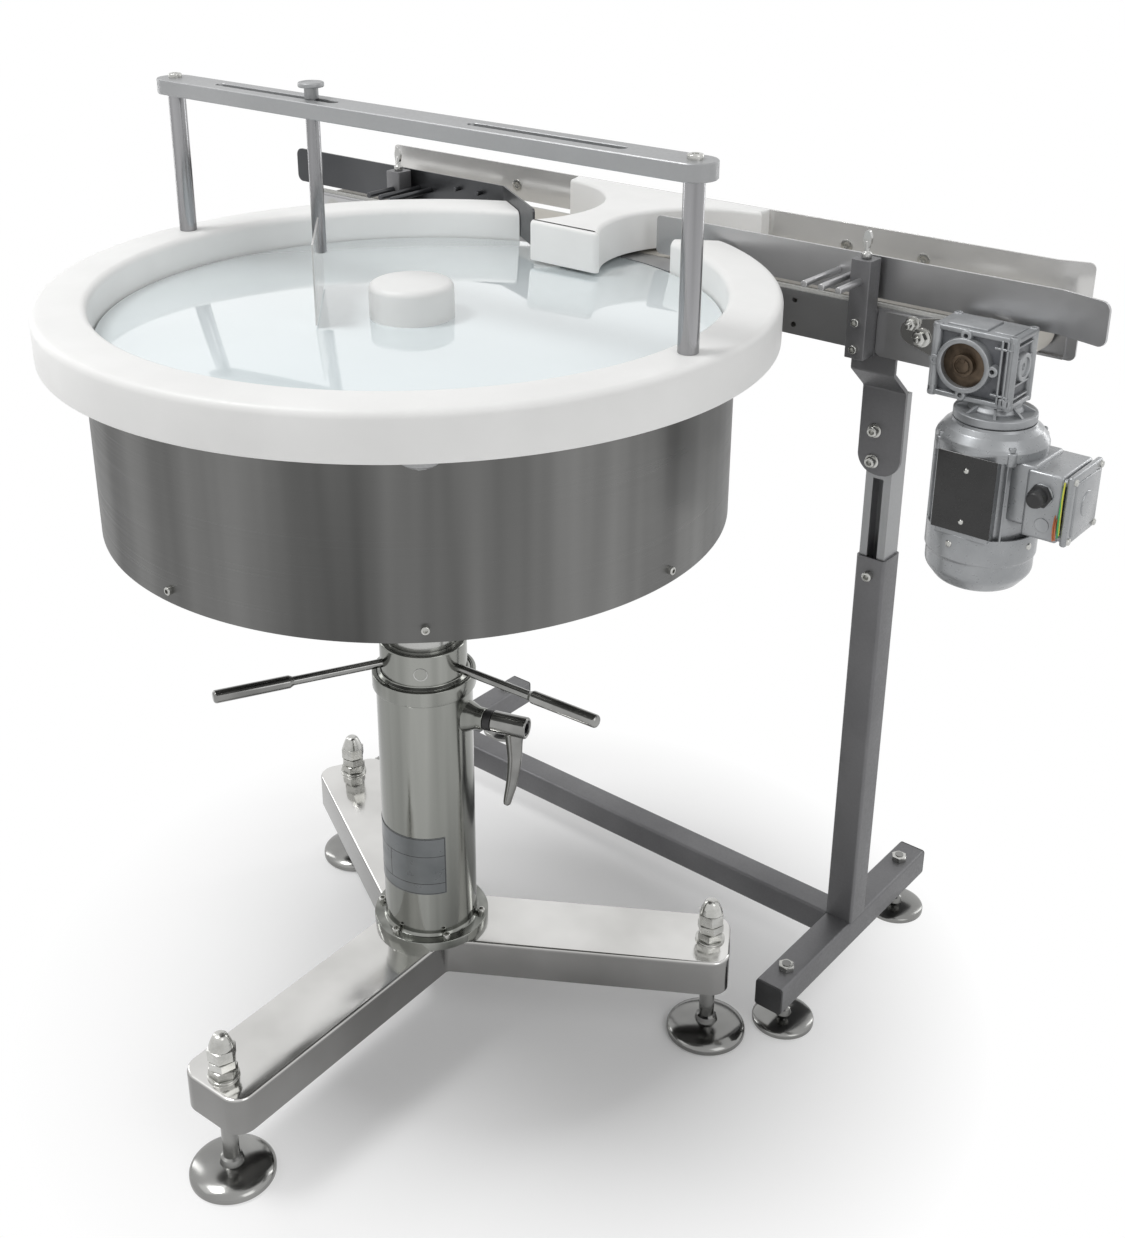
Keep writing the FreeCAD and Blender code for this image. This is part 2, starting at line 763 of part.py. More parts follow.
def makeFrames():
    web = frameSheet
    holes = []
    for x in (-frameHoleX, frameHoleX):
        for z in (frameTop - 12, frameTop - 43):
            holes.append(rod(7, (x, frameFront - 5, z), ACROSS, frameWidth + 10))
    for x in (-pulleyX, pulleyX):
        holes.append(rod(34, (x, frameFront - 5, pulleyZ), ACROSS, frameWidth + 10))
    for y, name, lip in ((frameFront, "front", 1), (frameBack - web, "back", -1)):
        side = block(-frameEnd, frameEnd, y, y + web, frameBottom, frameTop)
        low = y + web if lip > 0 else y - 4
        for z in (frameTop - web, frameBottom):
            gap = bracketWidth / 2 + 2
            runs = ((-frameEnd, frameEnd),)
            if z == frameBottom and lip > 0:
                runs = ((-frameEnd, -standX - gap), (-standX + gap, standX - gap),
                        (standX + gap, frameEnd))
            for x0, x1 in runs:
                side = side.fuse(block(x0, x1, low, low + 4, z, z + web))
        for hole in holes:
            side = side.cut(hole)
        add("side_frame_%s" % name, side)
    ends = []
    for sign in (-1, 1):
        for y in (frameFront - 3, frameBack):
            x0 = pulleyX - 138
            x1 = frameEnd + 12
            shape = block(x0, x1, y, y + 3, frameBottom - 2, frameTop - 3)
            shape = roundAlongY(shape, 8, lambda p: True)
            shape = shape.cut(rod(34, (pulleyX, y - 1, pulleyZ), ACROSS, 5))
            if sign < 0:
                shape.rotate(Vec(0, beltY, 0), UP, 180)
            ends.append(shape)
    return ends


def makeBed(endPlates):
    web = frameSheet
    inner = frameWidth / 2 - web
    top = beltTop - beltThick
    bedEnd = pulleyX - pulleyD / 2 - 14
    half = beltWidth / 2
    table = block(-bedEnd, bedEnd, beltY - half, beltY + half, top - 3 - slideGap, top - slideGap)
    ties = []
    under = frameTop - web - slideGap
    for reach in tieX:
        for x in (-reach, reach):
            ties.append(block(x - 15, x + 15, beltY - inner, beltY + inner, under - 22, under))
            ties.append(block(x - 15, x + 15, beltY - half, beltY + half, under,
                              top - 3 - slideGap))
    add("belt_bed", joined([table] + ties))
    strips = []
    runs = {-1: ((-frameEnd, transferStart - 1), (transferEnd + 1, frameEnd)),
            1: ((-frameEnd, frameEnd),)}
    for sign in (-1, 1):
        y = beltY + sign * (half + 1.5 + edgeStripWidth / 2)
        for x0, x1 in runs[sign]:
            strips.append(block(x0, x1, y - edgeStripWidth / 2, y + edgeStripWidth / 2,
                                frameTop, discTop - 0.5))
    add("edge_strips", *strips)
    add("drive_end_plates", *endPlates)


def makeBelt():
    r = pulleyD / 2
    half = beltWidth / 2

    def loop(radius):
        shape = block(-pulleyX, pulleyX, beltY - half, beltY + half,
                      pulleyZ - radius, pulleyZ + radius)
        for x in (-pulleyX, pulleyX):
            shape = shape.fuse(rod(2 * radius, (x, beltY - half, pulleyZ), ACROSS, beltWidth))
        return shape.removeSplitter()

    add("conveyor_belt", loop(r + beltThick).cut(loop(r)))
    for sign, name in ((1, "drive_pulley"), (-1, "tail_pulley")):
        x = sign * pulleyX
        face = rod(2 * (r - slideGap), (x, beltY - half - 1, pulleyZ), ACROSS, beltWidth + 2)
        start = gearFront + 8 if sign > 0 else frameFront - 3
        end = frameBack + 3
        shaft = rod(shaftD, (x, start, pulleyZ), ACROSS, end - start)
        add(name, joined([face, shaft]))
    bearings = []
    for x in (-pulleyX, pulleyX):
        for y in (frameFront - 3, frameBack - frameSheet):
            ring = rod(34, (x, y, pulleyZ), ACROSS, frameSheet + 3)
            bore = rod(shaftD + 2 * runFit, (x, y - 1, pulleyZ), ACROSS, frameSheet + 5)
            bearings.append(ring.cut(bore))
    add("pulley_bearings", *bearings)


def makeTransferPlate():
    y1 = frameFront + 8
    x0 = transferStart
    x1 = transferEnd
    near = discD / 2 + rimGap
    outline = block(x0, x1, frameFront - 120, y1, transferTop - transferThick, transferTop)
    cut = rod(2 * near, (0, 0, transferTop - 10), UP, 20)
    sheet = outline.cut(cut)
    legs = []
    for x in (-60, 80):
        legs.append(block(x - 12, x + 12, frameFront - 3, frameFront,
                          frameTop - 30, transferTop - transferThick))
        legs.append(block(x - 12, x + 12, frameFront - 3, frameFront + 6,
                          frameTop, transferTop - transferThick))
    add("transfer_plate", joined([sheet] + legs))


def guideRods(x, y0, y1, inwards):
    rods = []
    for k in range(3):
        rods.append(rod(rodD, (x + inwards * k * rodPitch, y0, rodZ), ACROSS, y1 - y0))
    return rods


def flared(x0, x1, bend, y0, angle, cornerR):
    # an upright guide sheet along X whose far end bends outwards after the bend
    z0 = guideBottom
    z1 = guideTop
    straight = block(x0, bend, y0, y0 + guideSheet, z0, z1)
    length = x1 - bend
    tail = block(0, length, 0, guideSheet, z0, z1)
    tail = roundAlongY(tail, cornerR, lambda p: p.x > length - 1)
    tail.rotate(Vec(0, 0, 0), UP, angle)
    tail.translate(Vec(bend, y0, 0))
    return straight.fuse(tail).removeSplitter()


def makeGuides():
    # front right guide, flared at its far end
    flareStart = frontGuideOuter - 8
    right = flared(frontRightStart, flareStart + frontGuideFlare, flareStart, guideFaceY,
                   -flareAngle, 10)
    right = roundAlongY(right, 6, lambda p: p.x < frontRightStart + 1)
    rodStart = guideFaceY - rodLength
    rods = guideRods(blockX, rodStart, guideFaceY, -1)
    add("front_guide_right", joined([right] + rods))
    # front left guide, bent over the disc at its inner end
    left = block(-frontGuideOuter, bendX, guideFaceY, guideFaceY + guideSheet,
                 guideBottom, guideTop)
    left = roundAlongY(left, 10, lambda p: p.x < -frontGuideOuter + 1)
    arm = block(0, bentLength, 0, guideSheet, guideBottom, guideTop)
    arm.rotate(Vec(0, 0, 0), UP, bentAngle)
    arm.translate(Vec(bendX, guideFaceY, 0))
    studs = [rod(6, (x, guideFaceY - 9, guideTop - 15), ACROSS, 9) for x in
             (-guideStudX[0], -guideStudX[1])]
    rods = guideRods(-blockX, rodStart, guideFaceY, 1)
    add("front_guide_left", joined([left, arm] + studs + rods))
    # back guide with its rods
    back = block(-backGuideEnd, pulleyX + 18, guideBackY, guideBackY + guideSheet,
                 guideBottom, guideTop)
    tail = block(0, backGuideFlare, 0, guideSheet, guideBottom, guideTop)
    tail = roundAlongY(tail, 8, lambda p: p.x > backGuideFlare - 1)
    tail.rotate(Vec(0, 0, 0), UP, flareAngle)
    tail.translate(Vec(pulleyX + 18, guideBackY, 0))
    outer = guideBackY + guideSheet
    rods = []
    for x, inwards in ((blockX, -1), (-blockX, 1)):
        rods.extend(guideRods(x, outer, outer + rodLength, inwards))
    add("back_guide", joined([back, tail] + rods))
    heads = []
    for x in backScrewX:
        heads.append(rod(12, (x, guideBackY - 2, guideTop - 28), ACROSS, 2))
    add("back_guide_screws", *heads)
    blocks = []
    for x in (-blockX, blockX):
        for y0 in (frameFront - 3 - blockSide, frameBack + 3):
            half = blockSide / 2
            bar = block(x - half, x + half, y0, y0 + blockSide, frameBottom - 3, blockTop)
            bar = bar.cut(rod(rodD + 2 * runFit, (x, y0 - 1, rodZ), ACROSS, blockSide + 2))
            bar = bar.cut(rod(6 + 2 * runFit, (x, y0 + half, rodZ + 4), UP, blockAboveRod))
            front = y0 < beltY
            spacer = block(x - half, x + half, frameFront - 3 if front else frameBack,
                           frameFront if front else frameBack + 3,
                           frameBottom - 3, frameTop - 2)
            bar = bar.fuse(spacer)
            face = Vec(0, -1, 0) if front else ACROSS
            for z in (frameTop - 14, frameTop - 46):
                seat = (x, y0 if front else y0 + blockSide, z)
                bar = bar.fuse(socketScrew(6, 10, 5, seat, face))
            blocks.append(bar.removeSplitter())
    add("guide_blocks", *blocks)


def wingScrew(x, y):
    stem = rod(6, (x, y, rodZ + rodD / 2 + slideGap), UP, blockTop - rodZ - rodD / 2 + 8)
    wing = wall([(x - 9, blockTop + 8), (x + 9, blockTop + 8), (x + 11, blockTop + 30),
                 (x + 5, blockTop + 34), (x - 5, blockTop + 34), (x - 11, blockTop + 30)],
                y - 3.5, y + 3.5)
    collar = rod(12, (x, y, blockTop + bodyGap), UP, 8)
    return joined([stem, collar, wing])


def makeWingScrews():
    frontY = frameFront - 3 - blockSide / 2
    backY = frameBack + 3 + blockSide / 2
    for x, y, name in ((-blockX, frontY, "front_left"), (blockX, frontY, "front_right")):
        add("wing_screw_%s" % name, wingScrew(x, y))
    add("back_guide_screws", wingScrew(-blockX, backY), wingScrew(blockX, backY))


def makeTransferBlock():
    back = guideBackY
    shoulder = back - shoulderDepth
    z0 = guideBottom - 2
    z1 = guideTop
    leftBack = Vec(-shoulderLeft, back, z0)
    leftEnd = Vec(-shoulderLeft, shoulder, z0)
    rightBack = Vec(shoulderRight, back, z0)
    rightEnd = Vec(shoulderRight, shoulder, z0)
    innerLeft = Vec(-noseLeft, back - noseReach, z0)
    innerRight = Vec(noseRight, back - noseReach, z0)
    leftWaist = Vec(-waistLeft, back - waistLeftReach, z0)
    rightWaist = Vec(waistRight, back - waistRightReach, z0)
    edges = [Part.LineSegment(leftBack, leftEnd).toShape(),
             Part.Arc(leftEnd, leftWaist, innerLeft).toShape(),
             Part.LineSegment(innerLeft, innerRight).toShape(),
             Part.Arc(innerRight, rightWaist, rightEnd).toShape(),
             Part.LineSegment(rightEnd, rightBack).toShape(),
             Part.LineSegment(rightBack, leftBack).toShape()]
    solid = Part.Face(Part.Wire(edges)).extrude(Vec(0, 0, z1 - z0))
    solid = roundVertical(solid, 5, lambda p: p.y < back - noseReach + 20)
    add("transfer_block", solid)


# Worm gearbox and motor

def makeGearbox():
    x0 = pulleyX - gearAxisIn
    x1 = x0 + gearLong
    z0 = pulleyZ - gearHigh / 2
    z1 = pulleyZ + gearHigh / 2
    y0 = gearFront
    y1 = gearFront + gearWide
    midY = gearMidY
    core = block(x0 + 4, x1 - 4, y0 + 7, y1 - 7, z0 + 5, z1 - 5)
    core = core.makeFillet(4, core.Edges)
    parts = [core]
    for z in (z0, z1 - 5):
        parts.append(roundVertical(block(x0, x1, y0 + 3, y1 - 3, z, z + 5), 4, lambda p: True))
    for y in (y0, y1 - 9):
        parts.append(rod(gearRingD, (pulleyX, y, pulleyZ), ACROSS, 9))
        for k in range(4):
            dx, dz = polar(32.5, 90 * k)
            parts.append(rod(11, (pulleyX + dx, y + 1, pulleyZ + dz), ACROSS, 8))
    ribPitch = 9.0
    ribY = ((y0 + 2, y0 + 8), (y1 - 8, y1 - 2))
    ribX = pulleyX + gearRingD / 2 + 5
    while ribX < x1 - 3:
        for low, high in ribY:
            parts.append(block(ribX, ribX + 2.4, low, high, z0 + 3, z1 - 3))
        ribX += ribPitch
    for k in range(4):
        z = z0 + 12 + k * 17
        parts.append(block(x1 - 6, x1 - 0.5, y0 + 8, y1 - 8, z, z + 2.4))
    parts.append(rod(34, (x1 - 6, midY, pulleyZ + 4), ALONG, 6))
    neck = rod(64, (motorX, midY, z0 - 8), UP, 10)
    flange = rod(motorFlangeD, (motorX, midY, z0 - 20), UP, 12)
    parts.extend([neck, flange])
    for k in range(4):
        angle = 45 + 90 * k
        dx, dy = polar(26, angle)
        web = block(0, 20, -2, 2, z0 - 8, z0)
        web = spin(web, angle)
        web.translate(Vec(motorX + dx * 0.9, midY + dy * 0.9, 0))
        parts.append(web)
    housing = joined(parts)
    for y in (y0 - 1, y1 - 5):
        housing = housing.cut(rod(gearRecessD, (pulleyX, y, pulleyZ), ACROSS, 6))
    for y in (y0, y1):
        inwards = ACROSS if y == y0 else Vec(0, -1, 0)
        for k in range(4):
            dx, dz = polar(32.5, 90 * k)
            housing = housing.cut(rod(5.2, (pulleyX + dx, y, pulleyZ + dz), inwards, 10))
    hollow = rod(24, (pulleyX, y0 + 2, pulleyZ), ACROSS, gearWide - 4)
    housing = housing.fuse(hollow)
    housing = housing.cut(rod(shaftD + 2 * runFit, (pulleyX, y0 - 1, pulleyZ), ACROSS,
                              gearWide + 2))
    add("worm_gearbox", housing)


def makeTorqueArm():
    y0 = gearFront + gearWide
    y1 = y0 + gearGapToFrame - 3
    hubPlate = rod(gearRingD + 16, (pulleyX, y0, pulleyZ), ACROSS, y1 - y0)
    armX = pulleyX - 92
    tip = rod(30, (armX, y0, pulleyZ + 4), ACROSS, y1 - y0)
    web = wall([(armX, pulleyZ + 19), (pulleyX, pulleyZ + 38), (pulleyX, pulleyZ - 38),
                (armX, pulleyZ - 11)], y0, y1)
    arm = joined([hubPlate, tip, web])
    arm = arm.cut(rod(34, (pulleyX, y0 - 1, pulleyZ), ACROSS, 10))
    screws = []
    for dx, dz in ((0, 10), (12, -4)):
        seat = (armX + dx, y0, pulleyZ + dz)
        screws.append(hexagon(13, 8, seat, Vec(0, -1, 0)))
        screws.append(rod(6, (seat[0], y0 - 8, seat[2]), Vec(0, -1, 0), 8))
    add("torque_arm", joined([arm] + screws))


def makeMotor():
    midY = gearMidY
    top = pulleyZ - gearHigh / 2 - 20
    bottom = top - motorLength
    shield = turned([(0, 0), (motorD / 2 - 7, 0), (motorD / 2 + 2, -8), (motorD / 2 + 4, -18),
                     (motorD / 2 + 4, -32), (0, -32)], motorX, midY, top)
    bodyBottom = bottom + fanCoverLength
    body = rod(motorD, (motorX, midY, bodyBottom - 6), UP, top - 30 - bodyBottom + 6)
    fins = []
    for k in range(motorFins):
        fin = block(motorD / 2 - 2, motorD / 2 + motorFinDepth, -1.2, 1.2, bodyBottom, top - 32)
        fin = spin(fin, 360.0 / motorFins * k)
        fin.translate(Vec(motorX, midY, 0))
        fins.append(fin)
    lugs = []
    for k in range(4):
        x, y = polar(motorD / 2 + 4, 45 + 90 * k)
        lugs.append(rod(10, (motorX + x, midY + y, top - 32), UP, 18))
    saddle = block(motorX + motorD / 2 - 12, motorX + motorD / 2 + 12, midY - 36, midY + 36,
                   top - 114, top - 32)
    add("motor_housing", joined([shield, body, saddle] + fins + lugs))
    r = fanCoverD / 2
    c = fanCoverLength
    cover = turned([(r - 2, c), (r, c), (r, 24), (r - 3, 20), (r - 3, 12), (r - 12, 0),
                    (0, 0), (0, 2), (r - 13, 2), (r - 5, 12), (r - 5, 20), (r - 2, 24)],
                   motorX, midY, bottom)
    for ring in range(3):
        for k in range(12):
            x, y = polar(14 + 12 * ring, 30 * k)
            cover = cover.cut(rod(5, (motorX + x, midY + y, bottom - 1), UP, 4))
    add("fan_cover", cover)


def makeTerminalBox():
    midY = gearMidY
    top = pulleyZ - gearHigh / 2 - 20
    x0 = motorX + motorD / 2 + 12
    x1 = x0 + boxDeep - 12
    z1 = top - 34
    z0 = z1 - boxSide
    half = boxSide / 2
    case = block(x0, x1, midY - half, midY + half, z0, z1)
    hollow = block(x0 + 4, x1 + 1, midY - half + 4, midY + half - 4, z0 + 4, z1 - 4)
    case = case.cut(hollow)
    glandZ = z1 - 26
    gland = joined([hexagon(22, 8, (x0 + 14, midY - half, glandZ), Vec(0, -1, 0)),
                    rod(19, (x0 + 14, midY - half - 8, glandZ), Vec(0, -1, 0), 14)])
    add("terminal_box", case)
    add("terminal_box", gland)
    lid = block(x1, x1 + 9, midY - half - 1, midY + half + 1, z0 - 1, z1 + 1)
    lid = lid.cut(block(x1 - 1, x1 + 5, midY - half + 4, midY + half - 4, z0 + 4, z1 - 4))
    edges = [e for e in lid.Edges if e.BoundBox.XMin > x1 + 8.9]
    lid = lid.makeChamfer(3, edges)
    boss = rod(30, (x1 + 9, midY, (z0 + z1) / 2), ALONG, 1.5)
    add("terminal_cover", lid.fuse(boss))


def build():
    makeLegFrame()
    makeColumn()
    makeTableFeet()
    makeCapstan()
    makeClampLever()
    makeHeadFrame()
    makeRim()
    makeBridge()
    makeTableDrive()
    makeDisc()
    makeDeflector()
    makeStand()
    makeSlidePosts()
    makeBed(makeFrames())
    makeBelt()
    makeTransferPlate()
    makeGuides()
    makeWingScrews()
    makeTransferBlock()
    makeGearbox()
    makeTorqueArm()
    makeMotor()
    makeTerminalBox()


def footprintShift():
    # moves the middle of the footprint to the origin
    box = FreeCAD.BoundBox()
    for solids in groups.values():
        for solid in solids:
            box.add(solid.optimalBoundingBox(False))
    return Vec(-(box.XMin + box.XMax) / 2, -(box.YMin + box.YMax) / 2, -box.ZMin)


build()
shift = footprintShift()
os.makedirs("parts", exist_ok=True)
for name, solids in groups.items():
    shape = Part.makeCompound(solids) if len(solids) > 1 else solids[0]
    shape.translate(shift)
    shape.exportStep("parts/%s.step" % name)
print(len(groups), "nodes", "table axis at", round(shift.x, 3), round(shift.y, 3))
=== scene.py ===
import bpy
import bmesh
import math
import numpy as np
from mathutils import Matrix, Vector


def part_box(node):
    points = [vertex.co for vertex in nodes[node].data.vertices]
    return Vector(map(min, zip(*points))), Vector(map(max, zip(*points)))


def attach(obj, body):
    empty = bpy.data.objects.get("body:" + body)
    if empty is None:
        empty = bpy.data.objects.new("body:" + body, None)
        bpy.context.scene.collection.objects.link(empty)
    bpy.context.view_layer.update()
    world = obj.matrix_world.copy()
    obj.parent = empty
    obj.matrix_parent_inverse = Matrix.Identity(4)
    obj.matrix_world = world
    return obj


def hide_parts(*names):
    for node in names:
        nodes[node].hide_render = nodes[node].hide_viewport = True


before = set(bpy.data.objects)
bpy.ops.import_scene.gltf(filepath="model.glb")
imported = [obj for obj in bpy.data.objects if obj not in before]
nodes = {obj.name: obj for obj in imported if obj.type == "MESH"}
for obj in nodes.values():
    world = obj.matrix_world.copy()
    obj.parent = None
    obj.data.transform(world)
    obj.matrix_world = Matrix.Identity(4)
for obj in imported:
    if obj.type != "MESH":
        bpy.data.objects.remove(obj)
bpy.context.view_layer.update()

# Sizes are in millimetres about the turntable's axis, with the floor at 0, as the drawing has
# them; meshPiece brings them to metres in the frame.
hubLow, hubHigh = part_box("disc_hub")
tableAxis = np.array([(hubLow.x + hubHigh.x) / 2, (hubLow.y + hubHigh.y) / 2, 0])
print("frame loaded, table axis at", tableAxis.round(4))


# surfaces

def meshPiece(name, parts, body, material, replaced=(), bevel=0):
    verts, faces = together([parts] if isinstance(parts, tuple) else parts)
    mesh = bpy.data.meshes.new(name)
    mesh.from_pydata((verts * 0.001 + tableAxis).tolist(), [], faces)
    work = bmesh.new()
    work.from_mesh(mesh)
    bmesh.ops.remove_doubles(work, verts=work.verts, dist=1e-6)
    bmesh.ops.dissolve_degenerate(work, edges=work.edges, dist=1e-7)
    bmesh.ops.recalc_face_normals(work, faces=work.faces)
    work.to_mesh(mesh)
    work.free()
    mesh.shade_smooth()
    mesh.set_sharp_from_angle(angle=math.radians(32))
    mesh.materials.append(materials[material])
    piece = bpy.data.objects.new(name, mesh)
    bpy.context.scene.collection.objects.link(piece)
    if bevel > 0:
        soft = piece.modifiers.new("edges", "BEVEL")
        soft.width = bevel * 0.001
        soft.segments = 3
        soft.limit_method = "ANGLE"
        soft.angle_limit = math.radians(35)
        soft.harden_normals = True
    if replaced:
        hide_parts(*replaced)
    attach(piece, body)
    return piece


def gridFaces(rows, columns, wrapRows=False, wrapColumns=False):
    # quads between neighbouring rows and columns of a grid, as index arrays
    r = np.arange(rows if wrapRows else rows - 1)
    c = np.arange(columns if wrapColumns else columns - 1)
    rr, cc = np.meshgrid(r, c, indexing="ij")
    r1, c1 = (rr + 1) % rows, (cc + 1) % columns
    quads = np.stack([rr * columns + cc, rr * columns + c1, r1 * columns + c1, r1 * columns + cc],
        -1)
    return quads.reshape(-1, 4).tolist()


def stacked(loops, ring=False):
    # loops of one length as rows of a surface: its ends filled, or joined into a ring
    n = len(loops[0])
    faces = gridFaces(len(loops), n, ring, True)
    if not ring:
        faces += [list(range(n)), [(len(loops) - 1) * n + i for i in range(n)]]
    return np.concatenate(loops), faces


def placed(flat, level, plane="xy"):
    # a flat outline as points, at a level along the axis that its plane leaves out
    pts = np.full((len(flat), 3), float(level))
    pts[:, ["xyz".index(axis) for axis in plane]] = flat
    return pts


def fullTurn(count):
    return np.linspace(0, 2 * math.pi, count, endpoint=False)


def together(parts):
    # several vertex and face lists as one
    verts, faces, start = [], [], 0
    for v, f in parts:
        verts.append(np.asarray(v, float))
        faces += [[i + start for i in face] for face in f]
        start += len(v)
    return np.concatenate(verts), faces


def softProfile(points, steps=5):
    # corners (a, b, radius) of an open line; each corner becomes an arc between its tangents
    pts = np.array([p[:2] for p in points], float)
    out = [pts[0]]
    for i in range(1, len(pts) - 1):
        radius = points[i][2] if len(points[i]) > 2 else 0
        before, after = pts[i - 1] - pts[i], pts[i + 1] - pts[i]
        lb, la = np.linalg.norm(before), np.linalg.norm(after)
        if radius <= 0 or lb < 1e-9 or la < 1e-9:
            out.append(pts[i])
            continue
        before, after = before / lb, after / la
        half = math.acos(np.clip(before @ after, -1, 1)) / 2
        if abs(half - math.pi / 2) < 1e-3:
            out.append(pts[i])
            continue
        reach = min(radius / math.tan(half), 0.49 * lb, 0.49 * la)
        radius = reach * math.tan(half)
        bisector = (before + after) / np.linalg.norm(before + after)
        centre = pts[i] + bisector * radius / math.sin(half)
        a, b = pts[i] + before * reach - centre, pts[i] + after * reach - centre
        turn = math.atan2(a[0] * b[1] - a[1] * b[0], a @ b)
        t = np.linspace(0, turn, steps + 1)
        out += list(centre + np.stack([a[0] * np.cos(t) - a[1] * np.sin(t),
            a[0] * np.sin(t) + a[1] * np.cos(t)], -1))
    out.append(pts[-1])
    return np.array(out)


def closedSoft(points, steps=5):
    # the same for a closed outline: it starts midway along its last side
    first, last = np.array(points[0][:2], float), np.array(points[-1][:2], float)
    middle = tuple((first + last) / 2)
    return softProfile([middle] + list(points) + [middle], steps)[:-1]


def rounded(x0, x1, y0, y1, radius, steps):
    return closedSoft([(x0, y0, radius), (x1, y0, radius), (x1, y1, radius), (x0, y1, radius)],
        steps)


def circleAt(x, y, radius, angles):
    return np.stack([x + radius * np.cos(angles), y + radius * np.sin(angles)], -1)


def leftOf(runs):
    # unit vectors square to the given ones, on their left
    runs = runs / np.linalg.norm(runs, axis=1)[:, None]
    return np.stack([-runs[:, 1], runs[:, 0]], -1)


def folded(rows):
    # four rows as the long edges of a bar, its two ends filled
    n = len(rows[0])
    ends = [[0, n, 2 * n, 3 * n], [n - 1, 2 * n - 1, 3 * n - 1, 4 * n - 1]]
    return np.concatenate(rows), gridFaces(4, n, True) + ends


def axesFor(direction):
    # two directions square to the given one
    w = np.asarray(direction, float) / np.linalg.norm(direction)
    u = np.cross([0, 0, 1], w) if abs(w[2]) < 0.9 else np.array([1, 0, 0])
    u = u / np.linalg.norm(u)
    return u, np.cross(w, u), w


def lathe(points, steps, centre=(0, 0, 0), direction=(0, 0, 1), segments=64, closed=False):
    # point(t, i) = centre + r_i (u cos t + v sin t) + h_i w for the soft line's pairs (r_i, h_i);
    # an open line that starts off the axis is led to it at both ends
    u, v, w = axesFor(direction)
    t = fullTurn(segments)
    if not closed and points[0][0] > 0:
        points = [(0, points[0][1]), *points, (0, points[-1][1])]
    r, h = softProfile(points, steps).T
    ring = np.cos(t)[:, None] * u + np.sin(t)[:, None] * v
    pts = np.asarray(centre, float) + r[None, :, None] * ring[:, None] + h[None, :, None] * w
    return pts.reshape(-1, 3), gridFaces(segments, len(r), True, closed)


def tube(path, radii, segments=24):
    # circles of radius radii_k carried along the path's points, closed at both ends
    path = np.asarray(path, float)
    radii = np.broadcast_to(np.asarray(radii, float), (len(path),))
    along = np.gradient(path, axis=0)
    along /= np.linalg.norm(along, axis=1)[:, None]
    lead = np.array([0, 0, 1]) if abs(along[:, 2]).max() < 0.95 else np.array([0.31, 0.95, 0.02])
    u = np.cross(along, lead)
    u /= np.linalg.norm(u, axis=1)[:, None]
    v = np.cross(along, u)
    t = fullTurn(segments)
    ring = np.cos(t)[None, :, None] * u[:, None] + np.sin(t)[None, :, None] * v[:, None]
    return stacked(path[:, None] + radii[:, None, None] * ring)


def prism(outline, low, high, plane="xy"):
    return stacked([placed(outline, low, plane), placed(outline, high, plane)])


def boxOf(x0, x1, y0, y1, z0, z1):
    return prism([(x0, y0), (x1, y0), (x1, y1), (x0, y1)], z0, z1)


def turnedBy(part, degrees, about=(0, 0, 0)):
    # the part turned about the vertical line through a point
    pts, faces = part
    a = math.radians(degrees)
    turn = np.array([[math.cos(a), math.sin(a), 0], [-math.sin(a), math.cos(a), 0], [0, 0, 1]])
    return (np.asarray(pts) - about) @ turn + about, faces


def movedBy(part, dx=0, dy=0, dz=0):
    return np.asarray(part[0]) + (dx, dy, dz), part[1]


def onCircle(radius, degrees):
    a = math.radians(degrees)
    return radius * math.cos(a), radius * math.sin(a)


def hexPrism(acrossFlats, low, high, centre, direction=(0, 0, 1), crown=0):
    # a six-sided prism along the direction, its end faces eased by a shallow cone
    u, v, w = axesFor(direction)
    t = np.radians(np.arange(6) * 60)
    big = acrossFlats / math.sqrt(3)
    rows = [(big - crown, low), (big, low + crown * 0.5), (big, high - crown * 0.5),
        (big - crown, high)] if crown > 0 else [(big, low), (big, high)]
    pts = [np.asarray(centre, float) + r * (np.cos(t)[:, None] * u + np.sin(t)[:, None] * v) + h
        * w for r, h in rows]
    return stacked(pts)


def socketHead(d, headD, headHigh, seat, direction, segments=28):
    # cylinder head with a rounded edge and a six-sided recess drawn as a sunk cone wall
    r = headD / 2
    return lathe([(0, 0), (r, 0), (r, headHigh, headHigh * 0.22), (d * 0.46, headHigh),
        (d * 0.42, headHigh * 0.35), (0, headHigh * 0.3)], 4, seat, direction, segments)


# materials

def added(tree, kind, inputs={}, output=0, operation=None):
    # a new node whose inputs take values or other nodes' outputs; gives the output asked for
    node = tree.nodes.new("ShaderNode" + kind)
    if operation:
        node.operation = operation
    for key, value in inputs.items():
        if isinstance(value, bpy.types.NodeSocket):
            tree.links.new(value, node.inputs[key])
        else:
            node.inputs[key].default_value = value
    return node.outputs[output]


def newMaterial(name, colour, metallic, roughness):
    material = bpy.data.materials.new(name)
    material.use_nodes = True
    shader = material.node_tree.nodes["Principled BSDF"]
    shader.inputs["Base Color"].default_value = (*colour, 1)
    shader.inputs["Metallic"].default_value = metallic
    shader.inputs["Roughness"].default_value = roughness
    return material, material.node_tree, shader


def noiseOn(tree, stretch, scale, detail):
    # noise in metres, longer where the stretch is small; one number stretches all ways alike
    if not isinstance(stretch, tuple):
        stretch = (stretch,) * 3
    place = added(tree, "TexCoord", output="Object")
    place = added(tree, "Mapping", {"Vector": place, "Scale": stretch})
    return added(tree, "TexNoise", {"Vector": place, "Scale": scale, "Detail": detail}, "Fac")


def rangeOf(tree, value, low, high, fromLow=0.3, fromHigh=0.7):
    return added(tree, "MapRange", {"Value": value, "From Min": fromLow, "From Max": fromHigh,
        "To Min": low, "To Max": high})


def colourOf(tree, value, dark, light):
    colour = added(tree, "ValToRGB", {"Fac": value})
    for stop, place, tone in zip(colour.node.color_ramp.elements, (0.3, 0.7), (dark, light)):
        stop.position, stop.color = place, (*tone, 1)
    return colour


